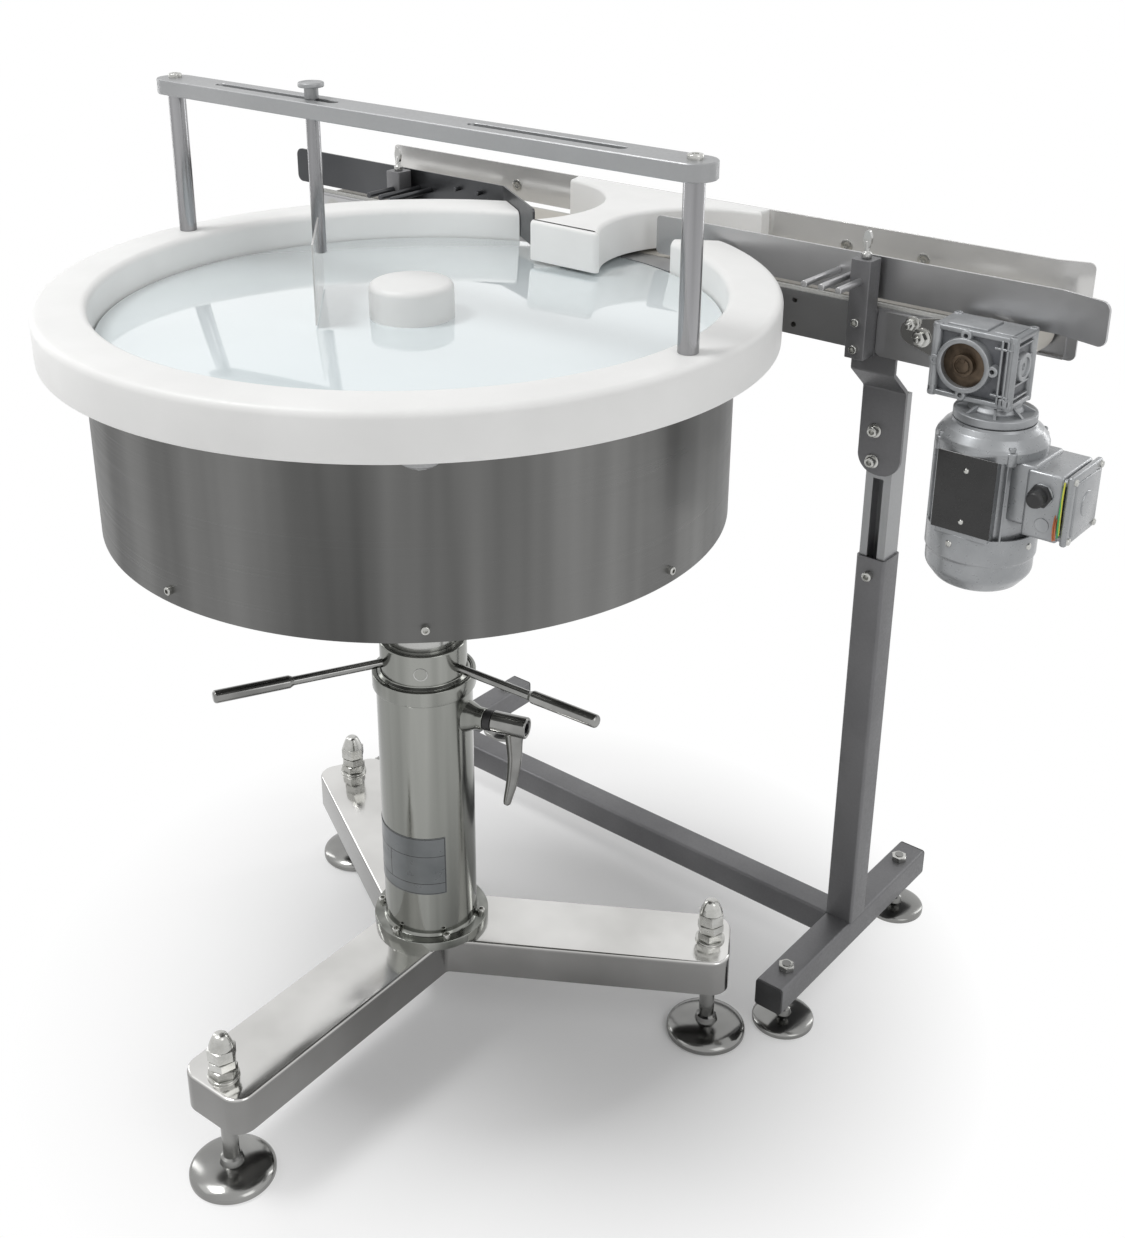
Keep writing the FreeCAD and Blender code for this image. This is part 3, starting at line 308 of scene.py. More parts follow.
def finish(name, dark, light, metallic, rough, grain, blotch=6, bump=0, distance=0.0002,
        bumpGrain=None, coat=0, coatRough=0.1, toneDriftAndPaintedBands=1, brushed=0, paintedSideShade=1):
    # colour drifts slowly between two tones; a drift stretched upright gives vertical bands, which
    # are painted reflections; the grain carries roughness and fine relief
    material, tree, shader = newMaterial(name, light, metallic, sum(rough) / 2)
    toneAndPaintedBandNoise = noiseOn(tree, toneDriftAndPaintedBands, blotch, 3)
    fine = noiseOn(tree, grain, 1, 3)
    colour = colourOf(tree, toneAndPaintedBandNoise, dark, light)
    if paintedSideShade < 1:
        # upright faces get a painted shade, darker and mottled, while faces looking up keep the
        # full tone
        facing = added(tree, "NewGeometry", output="Normal")
        upward = added(tree, "SeparateXYZ", {0: facing}, "Z")
        shade = rangeOf(tree, upward, paintedSideShade, 1, 0.3, 0.95)
        colour = added(tree, "VectorMath", {0: colour, "Scale": shade}, 0, "SCALE")
    tree.links.new(colour, shader.inputs["Base Color"])
    tree.links.new(rangeOf(tree, fine, *rough), shader.inputs["Roughness"])
    if bump > 0:
        relief = noiseOn(tree, bumpGrain or grain, 1, 2)
        relief = added(tree, "Bump", {"Strength": bump, "Distance": distance, "Height": relief})
        tree.links.new(relief, shader.inputs["Normal"])
    if brushed > 0:
        # brushed round its upright axis, so highlights spread into upright bands
        shader.inputs["Anisotropic"].default_value = brushed
        around = added(tree, "Tangent")
        around.node.direction_type, around.node.axis = "RADIAL", "Z"
        tree.links.new(around, shader.inputs["Tangent"])
    shader.inputs["Coat Weight"].default_value = coat
    shader.inputs["Coat Roughness"].default_value = coatRough
    return material


# dark and light tone, metallic, roughness range, grain, blotch, bump, its distance and grain
looks = {
    "polyethylene": ((0.81, 0.81, 0.80), (0.87, 0.87, 0.86), 0, (0.38, 0.5), 160, 9, 0.12,
        0.0002, 420),
    "drumSteel": ((0.045, 0.045, 0.044), (0.235, 0.235, 0.23), 1, (0.27, 0.36), (3, 3, 900), 9,
        0.10, 0.00006, (4, 4, 1400)),
    "columnSteel": ((0.11, 0.115, 0.105), (0.32, 0.325, 0.305), 1, (0.10, 0.2), 14, 22, 0.04,
        0.0002, 30),
    "postSteel": ((0.16, 0.16, 0.165), (0.44, 0.44, 0.45), 1, (0.16, 0.26), (900, 900, 30), 45,
        0.05, 0.0001, (60, 60, 900)),
    "darkPolish": ((0.16, 0.16, 0.155), (0.34, 0.34, 0.33), 1, (0.08, 0.18), 14, 16, 0.04,
        0.0002, 30),
    "polishedSteel": ((0.60, 0.595, 0.58), (0.76, 0.755, 0.74), 1, (0.07, 0.16), 14, 7, 0.04,
        0.0002, 30),
    "legSteel": ((0.56, 0.555, 0.54), (0.74, 0.735, 0.72), 1, (0.09, 0.18), 14, 7, 0.04,
        0.0002, 30),
    "padSteel": ((0.18, 0.18, 0.176), (0.34, 0.34, 0.33), 1, (0.12, 0.24), 14, 8, 0.03, 0.0002,
        30),
    "mirrorDisc": ((0.72, 0.79, 0.81), (0.78, 0.85, 0.87), 0, (0.04, 0.08), 9, 3),
    "blastedSteel": ((0.15, 0.15, 0.155), (0.205, 0.205, 0.21), 0.7, (0.40, 0.54), 300, 7, 0.30,
        0.0002, 900),
    "sheetSteel": ((0.44, 0.44, 0.445), (0.52, 0.52, 0.525), 0.9, (0.30, 0.34), 60, 5, 0.04,
        0.00005, 900),
    # the guides' sheet steel made darker for the left front guide: a painted dark reflection
    "sheetSteelPaintedShade": ((0.06, 0.062, 0.066), (0.10, 0.102, 0.106), 0.9, (0.28, 0.34), 60, 5, 0.04,
        0.00005, 900),
    "mirrorSheet": ((0.58, 0.576, 0.565), (0.76, 0.756, 0.745), 0.45, (0.10, 0.18), 14, 6, 0.04,
        0.0001, 30),
    "turnedSteel": ((0.34, 0.34, 0.33), (0.55, 0.55, 0.54), 1, (0.14, 0.26), (20, 20, 700), 12),
    "castAlloy": ((0.27, 0.28, 0.29), (0.38, 0.39, 0.40), 0.6, (0.34, 0.5), 500, 30, 0.35,
        0.0003, 1100),
    # the same cast alloy made darker: painted shade for the gearbox's recessed pockets
    "castPaintedPocketShade": ((0.10, 0.105, 0.115), (0.20, 0.205, 0.215), 0.5, (0.4, 0.55), 500, 40, 0.35,
        0.0003, 1100),
    "wireYellow": ((0.55, 0.55, 0.05), (0.70, 0.68, 0.10), 0, (0.3, 0.4), 300, 60),
    "wireGreen": ((0.03, 0.30, 0.08), (0.06, 0.42, 0.12), 0, (0.3, 0.4), 300, 60),
    "wireOrange": ((0.50, 0.13, 0.04), (0.66, 0.20, 0.06), 0, (0.3, 0.4), 300, 60),
    "motorPaint": ((0.28, 0.29, 0.30), (0.36, 0.37, 0.38), 0.5, (0.26, 0.36), 200, 24, 0.10,
        0.0002, 500),
    "satinGrey": ((0.33, 0.335, 0.34), (0.39, 0.395, 0.40), 0.6, (0.38, 0.48), 260, 6, 0.2,
        0.0001, 800),
    "beltCloth": ((0.42, 0.40, 0.36), (0.54, 0.52, 0.48), 0, (0.5, 0.66), (40, 700, 40), 8,
        0.2, 0.0002, 1300),
    "blackPlastic": ((0.012, 0.012, 0.013), (0.025, 0.025, 0.026), 0, (0.38, 0.52), 300, 40,
        0.2, 0.0002, 900),
    "greyPlastic": ((0.40, 0.40, 0.38), (0.50, 0.50, 0.48), 0, (0.45, 0.6), 200, 20, 0.1,
        0.0001, 600),
    "oiledBronze": ((0.05, 0.036, 0.024), (0.13, 0.095, 0.065), 0.7, (0.3, 0.5), 200, 60, 0.2,
        0.0002, 500),
    "blackOxide": ((0.01, 0.01, 0.012), (0.03, 0.03, 0.032), 0.4, (0.35, 0.5), 300, 60),
    "greyLabel": ((0.13, 0.14, 0.145), (0.19, 0.20, 0.205), 0.5, (0.25, 0.4), 60, 20),
    "blackEnamel": ((0.012, 0.012, 0.012), (0.02, 0.02, 0.02), 0, (0.22, 0.3), 80, 30),
    "zincPlated": ((0.40, 0.40, 0.38), (0.60, 0.60, 0.58), 1, (0.16, 0.3), 120, 60),
}
extras = {
    # drum, column and post tones drift in upright bands: painted reflections of a darker room
    "drumSteel": {"toneDriftAndPaintedBands": (1, 1, 0.04), "brushed": 0.8},
    "columnSteel": {"toneDriftAndPaintedBands": (1, 1, 0.03)},
    "postSteel": {"toneDriftAndPaintedBands": (1, 1, 0.03)},
    # the leg frame's upright faces carry painted shade
    "legSteel": {"paintedSideShade": 0.36},
    "mirrorDisc": {"coat": 1, "coatRough": 0.03},
    "motorPaint": {"coat": 0.25, "coatRough": 0.15},
}
materials = {name: finish(name, *values, **extras.get(name, {})) for name, values in looks.items()}
print("materials made:", len(materials))

nodeFinish = {"drum_base": "drumSteel", "rim_pads": "satinGrey", "table_gearmotor": "castAlloy",
    "slide_posts": "satinGrey", "side_frame_front": "sheetSteel", "side_frame_back": "sheetSteel",
    "belt_bed": "sheetSteel", "edge_strips": "greyPlastic", "drive_end_plates": "sheetSteel",
    "pulley_bearings": "greyPlastic", "transfer_plate": "sheetSteel"}
for nodeName, node in nodes.items():
    node.data.materials.clear()
    node.data.materials.append(materials[nodeFinish.get(nodeName, "turnedSteel")])


# rim, drum and disc

rim = {"inner": 352, "outer": 412, "low": 966, "high": 1018, "topRound": 9, "lowRound": 2.5,
    "endX": 118, "backY": 369, "bendX": -190, "bendY": 375.5, "bendAngle": -33.5, "clear": 0.4,
    "segments": 300}


def rimEnds(radius):
    # angles at which a circle of this radius meets the two cut ends of the rim
    right = np.where(radius < math.hypot(rim["endX"], rim["backY"]),
        np.arccos(rim["endX"] / radius), np.arcsin(np.clip(rim["backY"] / radius, 0, 1)))
    d = np.array([math.cos(math.radians(rim["bendAngle"])),
        math.sin(math.radians(rim["bendAngle"]))])
    p = np.array([rim["bendX"] + rim["clear"] * d[1], rim["bendY"] - rim["clear"] * d[0]])
    along = p @ d
    away = p - along * d
    s = -np.sqrt(radius ** 2 - away @ away)
    x, y = away[0] + s * d[0], away[1] + s * d[1]
    return right, np.arctan2(y, x) - 2 * math.pi


def makeRim():
    # point(r, z, t) = r (cos a, sin a), a running from the right cut to the left cut
    inner, outer, low, high, topRound, lowRound = (rim[k]
        for k in ("inner", "outer", "low", "high", "topRound", "lowRound"))
    profile = closedSoft([(inner, low, lowRound), (outer, low, lowRound), (outer, high, topRound),
        (inner, high, topRound)], 6)
    right, left = rimEnds(profile[:, 0])
    t = np.linspace(0, 1, rim["segments"])[:, None]
    angle = right[None] * (1 - t) + left[None] * t
    r = np.broadcast_to(profile[:, 0], angle.shape)
    z = np.broadcast_to(profile[:, 1], angle.shape)
    ring = stacked(np.stack([r * np.cos(angle), r * np.sin(angle), z], -1))
    meshPiece("rimRing", ring, "table_head", "polyethylene", ["rim_ring"], 1.5)


drum = {"radius": 363, "wall": 2, "low": 759, "high": 966, "flangeInner": 348}
disc = {"radius": 350, "low": 971, "top": 979, "hub": 48, "hubTop": 1019}


def makeDrum():
    radius, wall, low, high, inner = (drum[k] for k in ("radius", "wall", "low", "high",
        "flangeInner"))
    skirt = lathe([(radius - wall, low), (radius, low), (radius, high, 1.5), (inner, high),
        (inner, high - wall), (radius - wall, high - wall)], 5, segments=256,
        closed=True)
    meshPiece("drumSkirt", skirt, "table_head", "drumSteel", ["drum_skirt"])
    plate = lathe([(disc["radius"], disc["low"], 1), (disc["radius"], disc["top"], 1.5)], 3,
        (0, 0, 0), segments=256)
    meshPiece("turntableDisc", plate, "disc", "mirrorDisc", ["turntable_disc"])
    hub = lathe([(disc["hub"], disc["top"]), (disc["hub"], disc["hubTop"], 8)], 8, segments=96)
    meshPiece("discHub", hub, "disc", "polyethylene", ["disc_hub"])


makeRim()
makeDrum()
print("rim, drum and disc made")


# column and lifting gear

column = {"radius": 60, "inner": 57, "low": 150, "seat": 497, "flange": 75, "flangeTop": 162,
    "collar": 64.5, "collarLow": 505, "top": 525, "mouth": 58.5, "screwBore": 44.3,
    "guideLow": 451}
liftScrew = {"radius": 44, "low": 255, "high": 755, "head": 90, "headTop": 763}
capstan = {"low": 497.3, "radius": 54, "height": 72, "foot": 58, "leverHeight": 46, "reach": 262,
    "rod": 5.5, "grip": 8, "gripLength": 92, "angles": (-117, 3, 123), "hole": 7.5,
    "holeHeight": 48, "holeTurn": 67}
clamp = {"angle": 18, "z": 469, "boss": 14, "root": 21, "bossEnd": 82, "collar": 10, "hub": 13.5,
    "hubLength": 46, "socket": 12, "armOut": 38, "drop": 119}
ratingPlate = {"radius": 60.9, "low": 227, "high": 312, "from": -150, "to": -26}


def radial(distance, z, angle):
    x, y = onCircle(distance, angle)
    return np.array([x, y, z])


def makeColumn():
    (radius, inner, low, seat, flange, flangeTop, collar, collarLow, top, mouth, bore,
        guideLow) = column.values()
    wall = lathe([(inner, low), (flange, low), (flange, flangeTop, 1.5),
        (radius + 3, flangeTop, 2), (radius, flangeTop + 3, 2), (radius, collarLow),
        (collar, collarLow, 1), (collar, top, 1.5), (mouth, top, 1), (mouth, seat),
        (bore, seat, 1), (bore, guideLow), (inner, guideLow)], 3, segments=128,
        closed=True)
    k = clamp
    reach = k["bossEnd"] - inner
    boss = lathe([(6.1, 0), (k["root"], 0), (k["root"] - 2, 5, 2), (k["boss"], 16, 12),
        (k["boss"], reach, 1.5), (6.1, reach)], 5, radial(inner, k["z"], k["angle"]),
        radial(1, 0, k["angle"]), 48, True)
    meshPiece("columnTube", [wall, boss], "base", "columnSteel", ["column_tube"])
    s, low, high, head, headTop = liftScrew.values()
    screw = lathe([(s - 12, low), (s, low, 2), (s, high), (head, high, 1), (head, headTop)], 3,
        (0, 0, 0), segments=96)
    meshPiece("liftScrew", screw, "table_head", "turnedSteel", ["lift_screw"])
    k = capstan
    sleeve = lathe([(s + 0.3, 0), (k["foot"], 0, 1), (k["foot"], 27, 1.5), (k["radius"], 30, 2),
        (k["radius"], k["height"], 3), (s + 0.3, k["height"])], 4, (0, 0, k["low"]), segments=96,
        closed=True)
    meshPiece("capstanSleeve", sleeve, "capstan", "columnSteel", ["capstan_sleeve"])
    levers = []
    for angle in k["angles"]:
        z = k["low"] + k["leverHeight"]
        grip0 = k["reach"] - k["gripLength"]
        levers.append(lathe([(k["rod"], 49), (k["rod"], grip0 - 5, 2), (k["grip"], grip0, 3),
            (k["grip"], k["reach"], k["grip"] * 0.8)], 7, (0, 0, z), radial(1, 0, angle), 32))
    meshPiece("capstanLevers", levers, "capstan", "darkPolish", ["capstan_levers"])
    dimples = []
    for angle in k["angles"]:
        turn = angle + k["holeTurn"]
        z = k["low"] + k["holeHeight"]
        dimples.append(lathe([(0, -2), (k["hole"] - 1, -2), (k["hole"], 0.3, 0.4),
            (k["hole"] + 1, 0.6), (k["hole"] + 1.4, -1.2)], 3, radial(k["radius"] - 0.1, z, turn),
            radial(1, 0, turn), 32))
    meshPiece("capstanHoles", dimples, "capstan", "turnedSteel")


def hexSocket(acrossFlats, outer, low, high, centre, direction):
    # ring between a circle and a hexagon: inner radius = half the flats / cos(angle off a flat)
    u, v, w = axesFor(direction)
    t = fullTurn(60)
    flat = acrossFlats / 2 / np.cos((t + math.pi / 6) % (math.pi / 3) - math.pi / 6)
    round_ = np.full(60, outer)
    pts = [np.asarray(centre, float) + (r * np.cos(t))[:, None] * u + (r * np.sin(t))[:, None] * v
        + h * w for r, h in ((round_, low), (round_, high), (flat, high), (flat, low))]
    return stacked(pts, True)


def makeClampLever():
    k = clamp
    angle, z = k["angle"], k["z"]
    out = radial(1, 0, angle)
    across = radial(1, 0, angle + 90)
    start = k["bossEnd"] + 0.4
    hub0 = start + k["collar"]
    hub1 = hub0 + k["hubLength"]
    hub = lathe([(6, 45), (6, hub0), (k["hub"] - 1.5, hub0), (k["hub"], hub0 + 1.5, 1),
        (k["hub"], hub1, 4.5), (9.5, hub1, 1), (8.3, hub1 - 6)], 5, (0, 0, z), out, 48)
    socket = hexSocket(k["socket"], 8.6, hub1 - 6.4, hub1 - 1.2, (0, 0, z), out)
    collar = lathe([(6, start), (k["hub"] - 0.4, start, 0.8), (k["hub"] - 0.4, hub0 - 0.3, 0.8),
        (6, hub0 - 0.3)], 3, (0, 0, z), out, 40, True)
    # handle: oval sections, wide along the hub, whose centre and half widths vary with the drop
    t = np.linspace(0, 1, 40)
    marks = (0, 0.12, 0.4, 0.7, 0.92, 1)
    smooth = lambda values: np.convolve(np.pad(np.interp(t, marks, values), 4, "edge"),
        np.ones(9) / 9, "valid")
    shift, wide, thick = (smooth(v) for v in ((0, 0, 1, -3, -9, -11),
        (15, 11.5, 9.2, 7.6, 5.6, 4.6), (10.5, 8.6, 6.5, 5.8, 4.8, 4.2)))
    tip = np.sqrt(np.clip(1 - ((t - 0.955) / 0.047).clip(0) ** 2, 0.004, 1))
    turn = fullTurn(40)
    centre = start + k["armOut"] + shift
    reach = centre[:, None] + (wide * tip)[:, None] * np.cos(turn)
    aside = (thick * tip)[:, None] * np.sin(turn)
    level = np.broadcast_to((z - 2 - (k["drop"] - 2) * t)[:, None], reach.shape)
    pts = reach[..., None] * out + aside[..., None] * across
    pts[..., 2] = level
    meshPiece("clampHandle", [hub, stacked(pts)], "clamp", "darkPolish",
        ["clamp_lever"])
    meshPiece("clampSocket", socket, "clamp", "blackOxide")
    meshPiece("clampCollar", collar, "clamp", "blackPlastic")


def makeRatingPlate():
    # a thin sheet bent round the column: point(a, z) = r (cos a, sin a), with no words on it
    k = ratingPlate
    parts = []
    a = np.radians(np.linspace(k["from"], k["to"], 40))

    def sheet(inner, outer, low, high, angles):
        rows = [(inner, low), (outer, low), (outer, high), (inner, high)]
        return folded([placed(circleAt(0, 0, r, angles), z) for r, z in rows])

    r = k["radius"]
    meshPiece("ratingPlate", sheet(r - 0.7, r - 0.3, k["low"], k["high"], a), "base", "greyLabel")
    edge = np.radians([k["to"] - 1.6, k["to"] - 1.2, k["to"] - 0.8])
    inside = np.radians(np.linspace(k["from"] + 1, k["to"] - 1.2, 40))
    parts += [sheet(r - 0.35, r - 0.2, z, z + 0.7, inside)
        for z in (k["low"] + 1, k["low"] + 16, k["high"] - 28, k["high"] - 1.6)]
    parts.append(sheet(r - 0.35, r - 0.2, k["low"] + 1, k["high"] - 0.9, edge))
    column0 = np.radians([k["to"] - 74, k["to"] - 73.6, k["to"] - 73.2])
    parts.append(sheet(r - 0.35, r - 0.2, k["low"] + 16, k["high"] - 28, column0))
    meshPiece("ratingPlateRules", parts, "base", "blackEnamel")


makeColumn()
makeClampLever()
makeRatingPlate()
print("column and lifting gear made")


# feet and their nuts

tableFoot = {"pad": 51.97, "stem": 10, "height": 20, "top": 198, "reach": 368, "first": -87.7,
    "armTop": 150, "armLow": 99, "flats": 30, "capTop": 212}
standFoot = {"pad": 41, "stem": 6, "height": 14, "top": 94.5, "x": 380.06, "front": 278.64,
    "back": 588.5}


def footPad(x, y, f):
    # dome: radius = pad * cos(t), height = 6 + (height - 6) * sin(t)
    s, low = f["stem"], 6
    t = np.linspace(0, math.acos((s + 5) / f["pad"]), 16)
    dome = list(zip(f["pad"] * np.cos(t), low + (f["height"] - low) * np.sin(t)))
    profile = ([(0, 0), (f["pad"] - 2, 0), (f["pad"], 2)] + dome
        + [(s + 3, f["height"] + 7), (s, f["height"] + 9), (s, f["top"]), (0, f["top"])])
    return lathe(profile, 1, (x, y, 0), segments=96)


def makeFeet():
    f = tableFoot
    flats, armTop, capTop = f["flats"], f["armTop"], f["capTop"]
    stacks = []
    for k in (1, 2, 3):
        x, y = onCircle(f["reach"], f["first"] + 120 * (k - 1))
        meshPiece("tableFoot%d" % k, footPad(x, y, f), "foot_%d" % k, "padSteel",
            ["table_foot_%d" % k])
        nut = 0.4 * flats
        place = (x, y, 0)
        low = armTop + 3
        washer = lathe([(10.3, armTop), (19, armTop, 0.6), (19, low, 0.6), (10.3, low)], 2, place,
            segments=40, closed=True)
        r = flats / 2
        cap0 = low + 2 * nut
        capSide = cap0 + 16
        dome = lathe([(0, cap0), (r - 0.4, cap0), (r - 0.4, capSide, 2), (r - 2.5, capTop - 12, 8),
            (r - 7, capTop - 2, 7), (0, capTop)], 6, place, segments=40)
        stacks += [washer, hexPrism(flats, low, low + nut - 0.4, place, crown=1.6),
            turnedBy(hexPrism(flats, low + nut, cap0 - 0.4, place, crown=1.6), 17, place),
            turnedBy(hexPrism(flats, cap0, capSide, place, crown=1.6), 8, place), dome,
            hexPrism(flats, f["armLow"] + 4 - nut, f["armLow"] + 4, place, crown=1.6)]
    g = standFoot
    for side, sideName in ((-1, "left"), (1, "right")):
        for endName in ("front", "back"):
            x, y = side * g["x"], g[endName]
            key = "%s_%s" % (endName, sideName)
            meshPiece("standFoot_" + key, footPad(x, y, g), "stand_foot_" + key, "padSteel",
                ["stand_foot_" + key])
            stacks += [hexPrism(19, 37.5, 45.5, (x, y, 0), crown=1),
                hexPrism(19, 85.5, 93, (x, y, 0), crown=1)]
    meshPiece("levellingNuts", stacks, "base", "zincPlated", ["levelling_nuts"])


makeFeet()
print("feet made")


# bridge and deflector

bridge = {"x": 381, "y": -8, "post": 10.65, "low": 1018, "high": 1188, "barTop": 1206,
    "half": 22.5, "edge": 1, "slotX": 200, "slotHalf": 95.8, "slotRadius": 6.2}
deflector = {"x": -139, "y": -8, "rod": 8, "low": 1032, "stud": 6, "knob": 14.75, "neckHigh": 13,
    "knobHigh": 18.5, "rodLow": 1030, "bladeLow": 982, "bladeHigh": 1073, "bladeTurn": -45.7}


def makeBridgeBar():
    # two mirrored ribbons between the outer edge and the centre line, which opens at the slots:
    # half slot = radius, then sqrt(radius^2 - d^2) over each end
    b = bridge
    t = np.sin(np.linspace(-math.pi / 2, math.pi / 2, 9))
    ends = [side * b["slotX"] + way * (b["slotHalf"] + b["slotRadius"] * np.abs(t))
        for side in (-1, 1) for way in (-1, 1)]
    x = np.unique(np.round(np.concatenate([np.linspace(-b["x"], b["x"], 41)] + ends), 4))
    beyond = np.clip(np.abs(np.abs(x) - b["slotX"]) - b["slotHalf"], 0, b["slotRadius"])
    slot = np.sqrt(b["slotRadius"] ** 2 - beyond ** 2)
    q = np.linspace(math.pi / 2, 0, 12)[1:]
    low, high, e = b["high"], b["barTop"], b["edge"]
    soft = np.where(slot > 0.01, 0.6, 0)
    straight = np.ones(len(x))

    def row(radius, z):
        across = np.concatenate([radius * np.sin(q[::-1]), radius * straight, radius * np.sin(q)])
        along = np.concatenate([-b["x"] - radius * np.cos(q[::-1]), x,
            b["x"] + radius * np.cos(q)])
        return along, across, np.full(len(along), z)

    def inside(reach, z):
        along, level = row(b["half"] - e, 0)[0], high if z[0] > low else low
        return along, np.pad(reach, len(q)), np.pad(z, len(q), constant_values=level)

    rows = [inside(slot, low * straight), row(b["half"] - e, low), row(b["half"], low + e),
        row(b["half"], high - e), row(b["half"] - e, high), inside(slot + soft, high * straight),
        inside(slot, high - soft)]
    n = len(rows[0][0])
    parts = []
    for side in (-1, 1):
        pts = np.concatenate([np.column_stack([a, b["y"] + side * c, z]) for a, c, z in rows])
        off = np.abs(pts[:, 1] - b["y"]) < 1e-6
        faces = [f for f in gridFaces(len(rows), n, True, False) if not off[f].all()]
        parts.append((pts, faces))
    meshPiece("bridgeBar", parts, "table_head", "satinGrey", ["bridge_bar"])


def makeBridge():
    y, r, postLow, high, barTop = (bridge[k] for k in ("y", "post", "low", "high", "barTop"))
    posts, heads = [], []
    for side in (-1, 1):
        x = side * bridge["x"]
        posts.append(lathe([(r, postLow, 0.8), (r, high, 0.8)], 3, (x, y, 0), segments=48))
        heads.append(lathe([(8, 0), (8, 5, 1.5), (4.5, 5.6, 1), (3.4, 5.2), (3, 2)], 4,
            (x, y, barTop), segments=36))
    meshPiece("bridgePosts", posts, "table_head", "postSteel", ["bridge_posts"])
    for k in range(8):
        out = radial(1, 0, 45 * k)
        heads.append(socketHead(5, 9, 5, radial(drum["radius"], drum["low"] + 15, 45 * k), out,
            20))
    meshPiece("headScrews", heads, "table_head", "zincPlated", ["head_screws"])
    d = deflector
    place = (d["x"], d["y"], 0)
    rod, stud, bladeLow, bladeHigh = (d[k] for k in ("rod", "stud", "bladeLow", "bladeHigh"))
    low = barTop + 0.3
    neck, knobTop = low + d["neckHigh"], low + d["knobHigh"]
    knob = lathe([(0, low + 15.5), (6.06, low + 15.5), (6.06, low), (rod, low, 0.8),
        (rod, neck, 1.2), (d["knob"], neck, 1.2), (d["knob"], knobTop, 1.6), (11, knobTop, 1.5),
        (10, knobTop - 0.7, 1.5), (0, knobTop - 0.5)], 4, place, segments=64)
    meshPiece("deflectorKnob", knob, "deflector_slider", "satinGrey", ["deflector_knob"])
    shaft = lathe([(rod, d["rodLow"], 0.8), (rod, high - 0.3, 0.8), (stud, high - 0.3),
        (stud, low + 14.5, 0.8)], 3, place, segments=48)
    meshPiece("deflectorRod", shaft, "deflector", "postSteel", ["deflector_rod"])
    blade = prism([(-37, bladeLow), (132, bladeLow), (132, bladeHigh), (-37, bladeHigh)], -1, 1,
        "xz")
    blade = movedBy(turnedBy(blade, d["bladeTurn"]), d["x"], d["y"])
    meshPiece("deflectorBlade", blade, "deflector", "mirrorSheet", ["deflector_blade"],
        0.4)


makeBridgeBar()
makeBridge()
print("bridge made")


# three-arm foot

legs = {"angles": (-87.7, 32.3, 152.3), "end": 394, "half": 50, "low": 99, "high": 150, "wall": 4,
    "edge": 4, "corner": 24, "inner": 8, "screwCircle": 67}


def legOutline(inset):
    # three arms with flat ends and round corners, their sides meeting at half / sin(60)
    half, end = legs["half"] - inset, legs["end"] - inset
    corner, points = legs["corner"] - inset, []
    for angle in legs["angles"]:
        a = math.radians(angle)
        d = np.array([math.cos(a), math.sin(a)])
        n = np.array([-d[1], d[0]])
        points += [(*(end * d - half * n), corner), (*(end * d + half * n), corner)]
        meet = half / math.sin(math.radians(60))
        points.append((*(meet * np.array([math.cos(a + math.radians(60)),
            math.sin(a + math.radians(60))])), legs["inner"] + inset))
    return np.array(closedSoft(points, 9))


def makeLegs():
    # rows of the outline from the inner ceiling down, round the rim and up to the top face
    e = legs["edge"]
    t = np.linspace(0, math.pi / 2, 6)
    rows = [(legs["wall"], legs["high"] - legs["wall"]), (legs["wall"], legs["low"]),
        (0.6, legs["low"]), (0, legs["low"] + 0.6)]
    rows += [(e * (1 - math.cos(q)), legs["high"] - e + e * math.sin(q)) for q in t]
    frameSurface = stacked([placed(legOutline(inset), z) for inset, z in rows])
    meshPiece("legFrame", frameSurface, "base", "legSteel", ["leg_frame"])
    screws = []
    for k in range(6):
        x, y = onCircle(legs["screwCircle"], 60 * k + 30)
        screws.append(socketHead(6, 9.5, 6, (x, y, column["flangeTop"]), (0, 0, 1), 20))
    screws += [socketHead(8, 13, 8, (side * stand["x"], stand["y"] - 20, stand["screwZ"]),
        (0, -1, 0), 24) for side in (-1, 1)]
    meshPiece("baseScrews", screws, "base", "zincPlated", ["base_screws"])


# conveyor stand

stand = {"x": 380.05, "y": 433.5, "half": 20, "wall": 2.5, "low": 45.5, "footFront": 238.6,
    "footBack": 628.5, "postTop": 639, "corner": 4, "screwZ": 615}


def standTube(start, end, plane):
    # outer and inner square loops joined at both ends, running square to the plane
    half, wall, corner = (stand[k] for k in ("half", "wall", "corner"))
    outer = rounded(-half, half, -half, half, corner, 5)
    half -= wall
    inside = rounded(-half, half, -half, half, max(corner - wall, 0.5), 5)
    rows = [(outer, start), (outer, end), (inside, end), (inside, start)]
    return stacked([placed(loop, level, plane) for loop, level in rows], True)


def makeStand():
    s = stand
    mid = s["low"] + s["half"]
    h = s["half"] - 0.2
    plug = rounded(-h, h, -h, h, s["corner"], 5)
    bars, posts, caps = [], [], []
    for side in (-1, 1):
        x = side * s["x"]
        bars.append(movedBy(standTube(s["footFront"], s["footBack"], "xz"), x, 0, mid))
        posts.append(movedBy(standTube(s["low"] + 2 * s["half"], s["postTop"], "xy"), x, s["y"]))
        for y in (s["footFront"] - 3, s["footBack"]):
            caps.append(movedBy(prism(plug, y, y + 3, "xz"), x, 0, mid))
    meshPiece("standFootBars", bars, "base", "blastedSteel", ["stand_foot_bars"])
    meshPiece("standPosts", posts, "base", "blastedSteel", ["stand_posts"])
    reach = s["x"] - s["half"]
    beam = movedBy(standTube(-reach, reach, "yz"), 0, s["y"], mid)
    meshPiece("standTieBeam", beam, "base", "blastedSteel", ["stand_tie_beam"])
    meshPiece("tubeEndCaps", caps, "base", "blackPlastic", ["tube_end_caps"], 0.8)


bracket = {"wide": 57, "thick": 4.8, "high": 934, "low": 752, "top": 376.5, "foot": 411.5,
    "round": 26, "boltZ": (769, 809), "rivetX": (-12, 14), "rivetZ": 916}


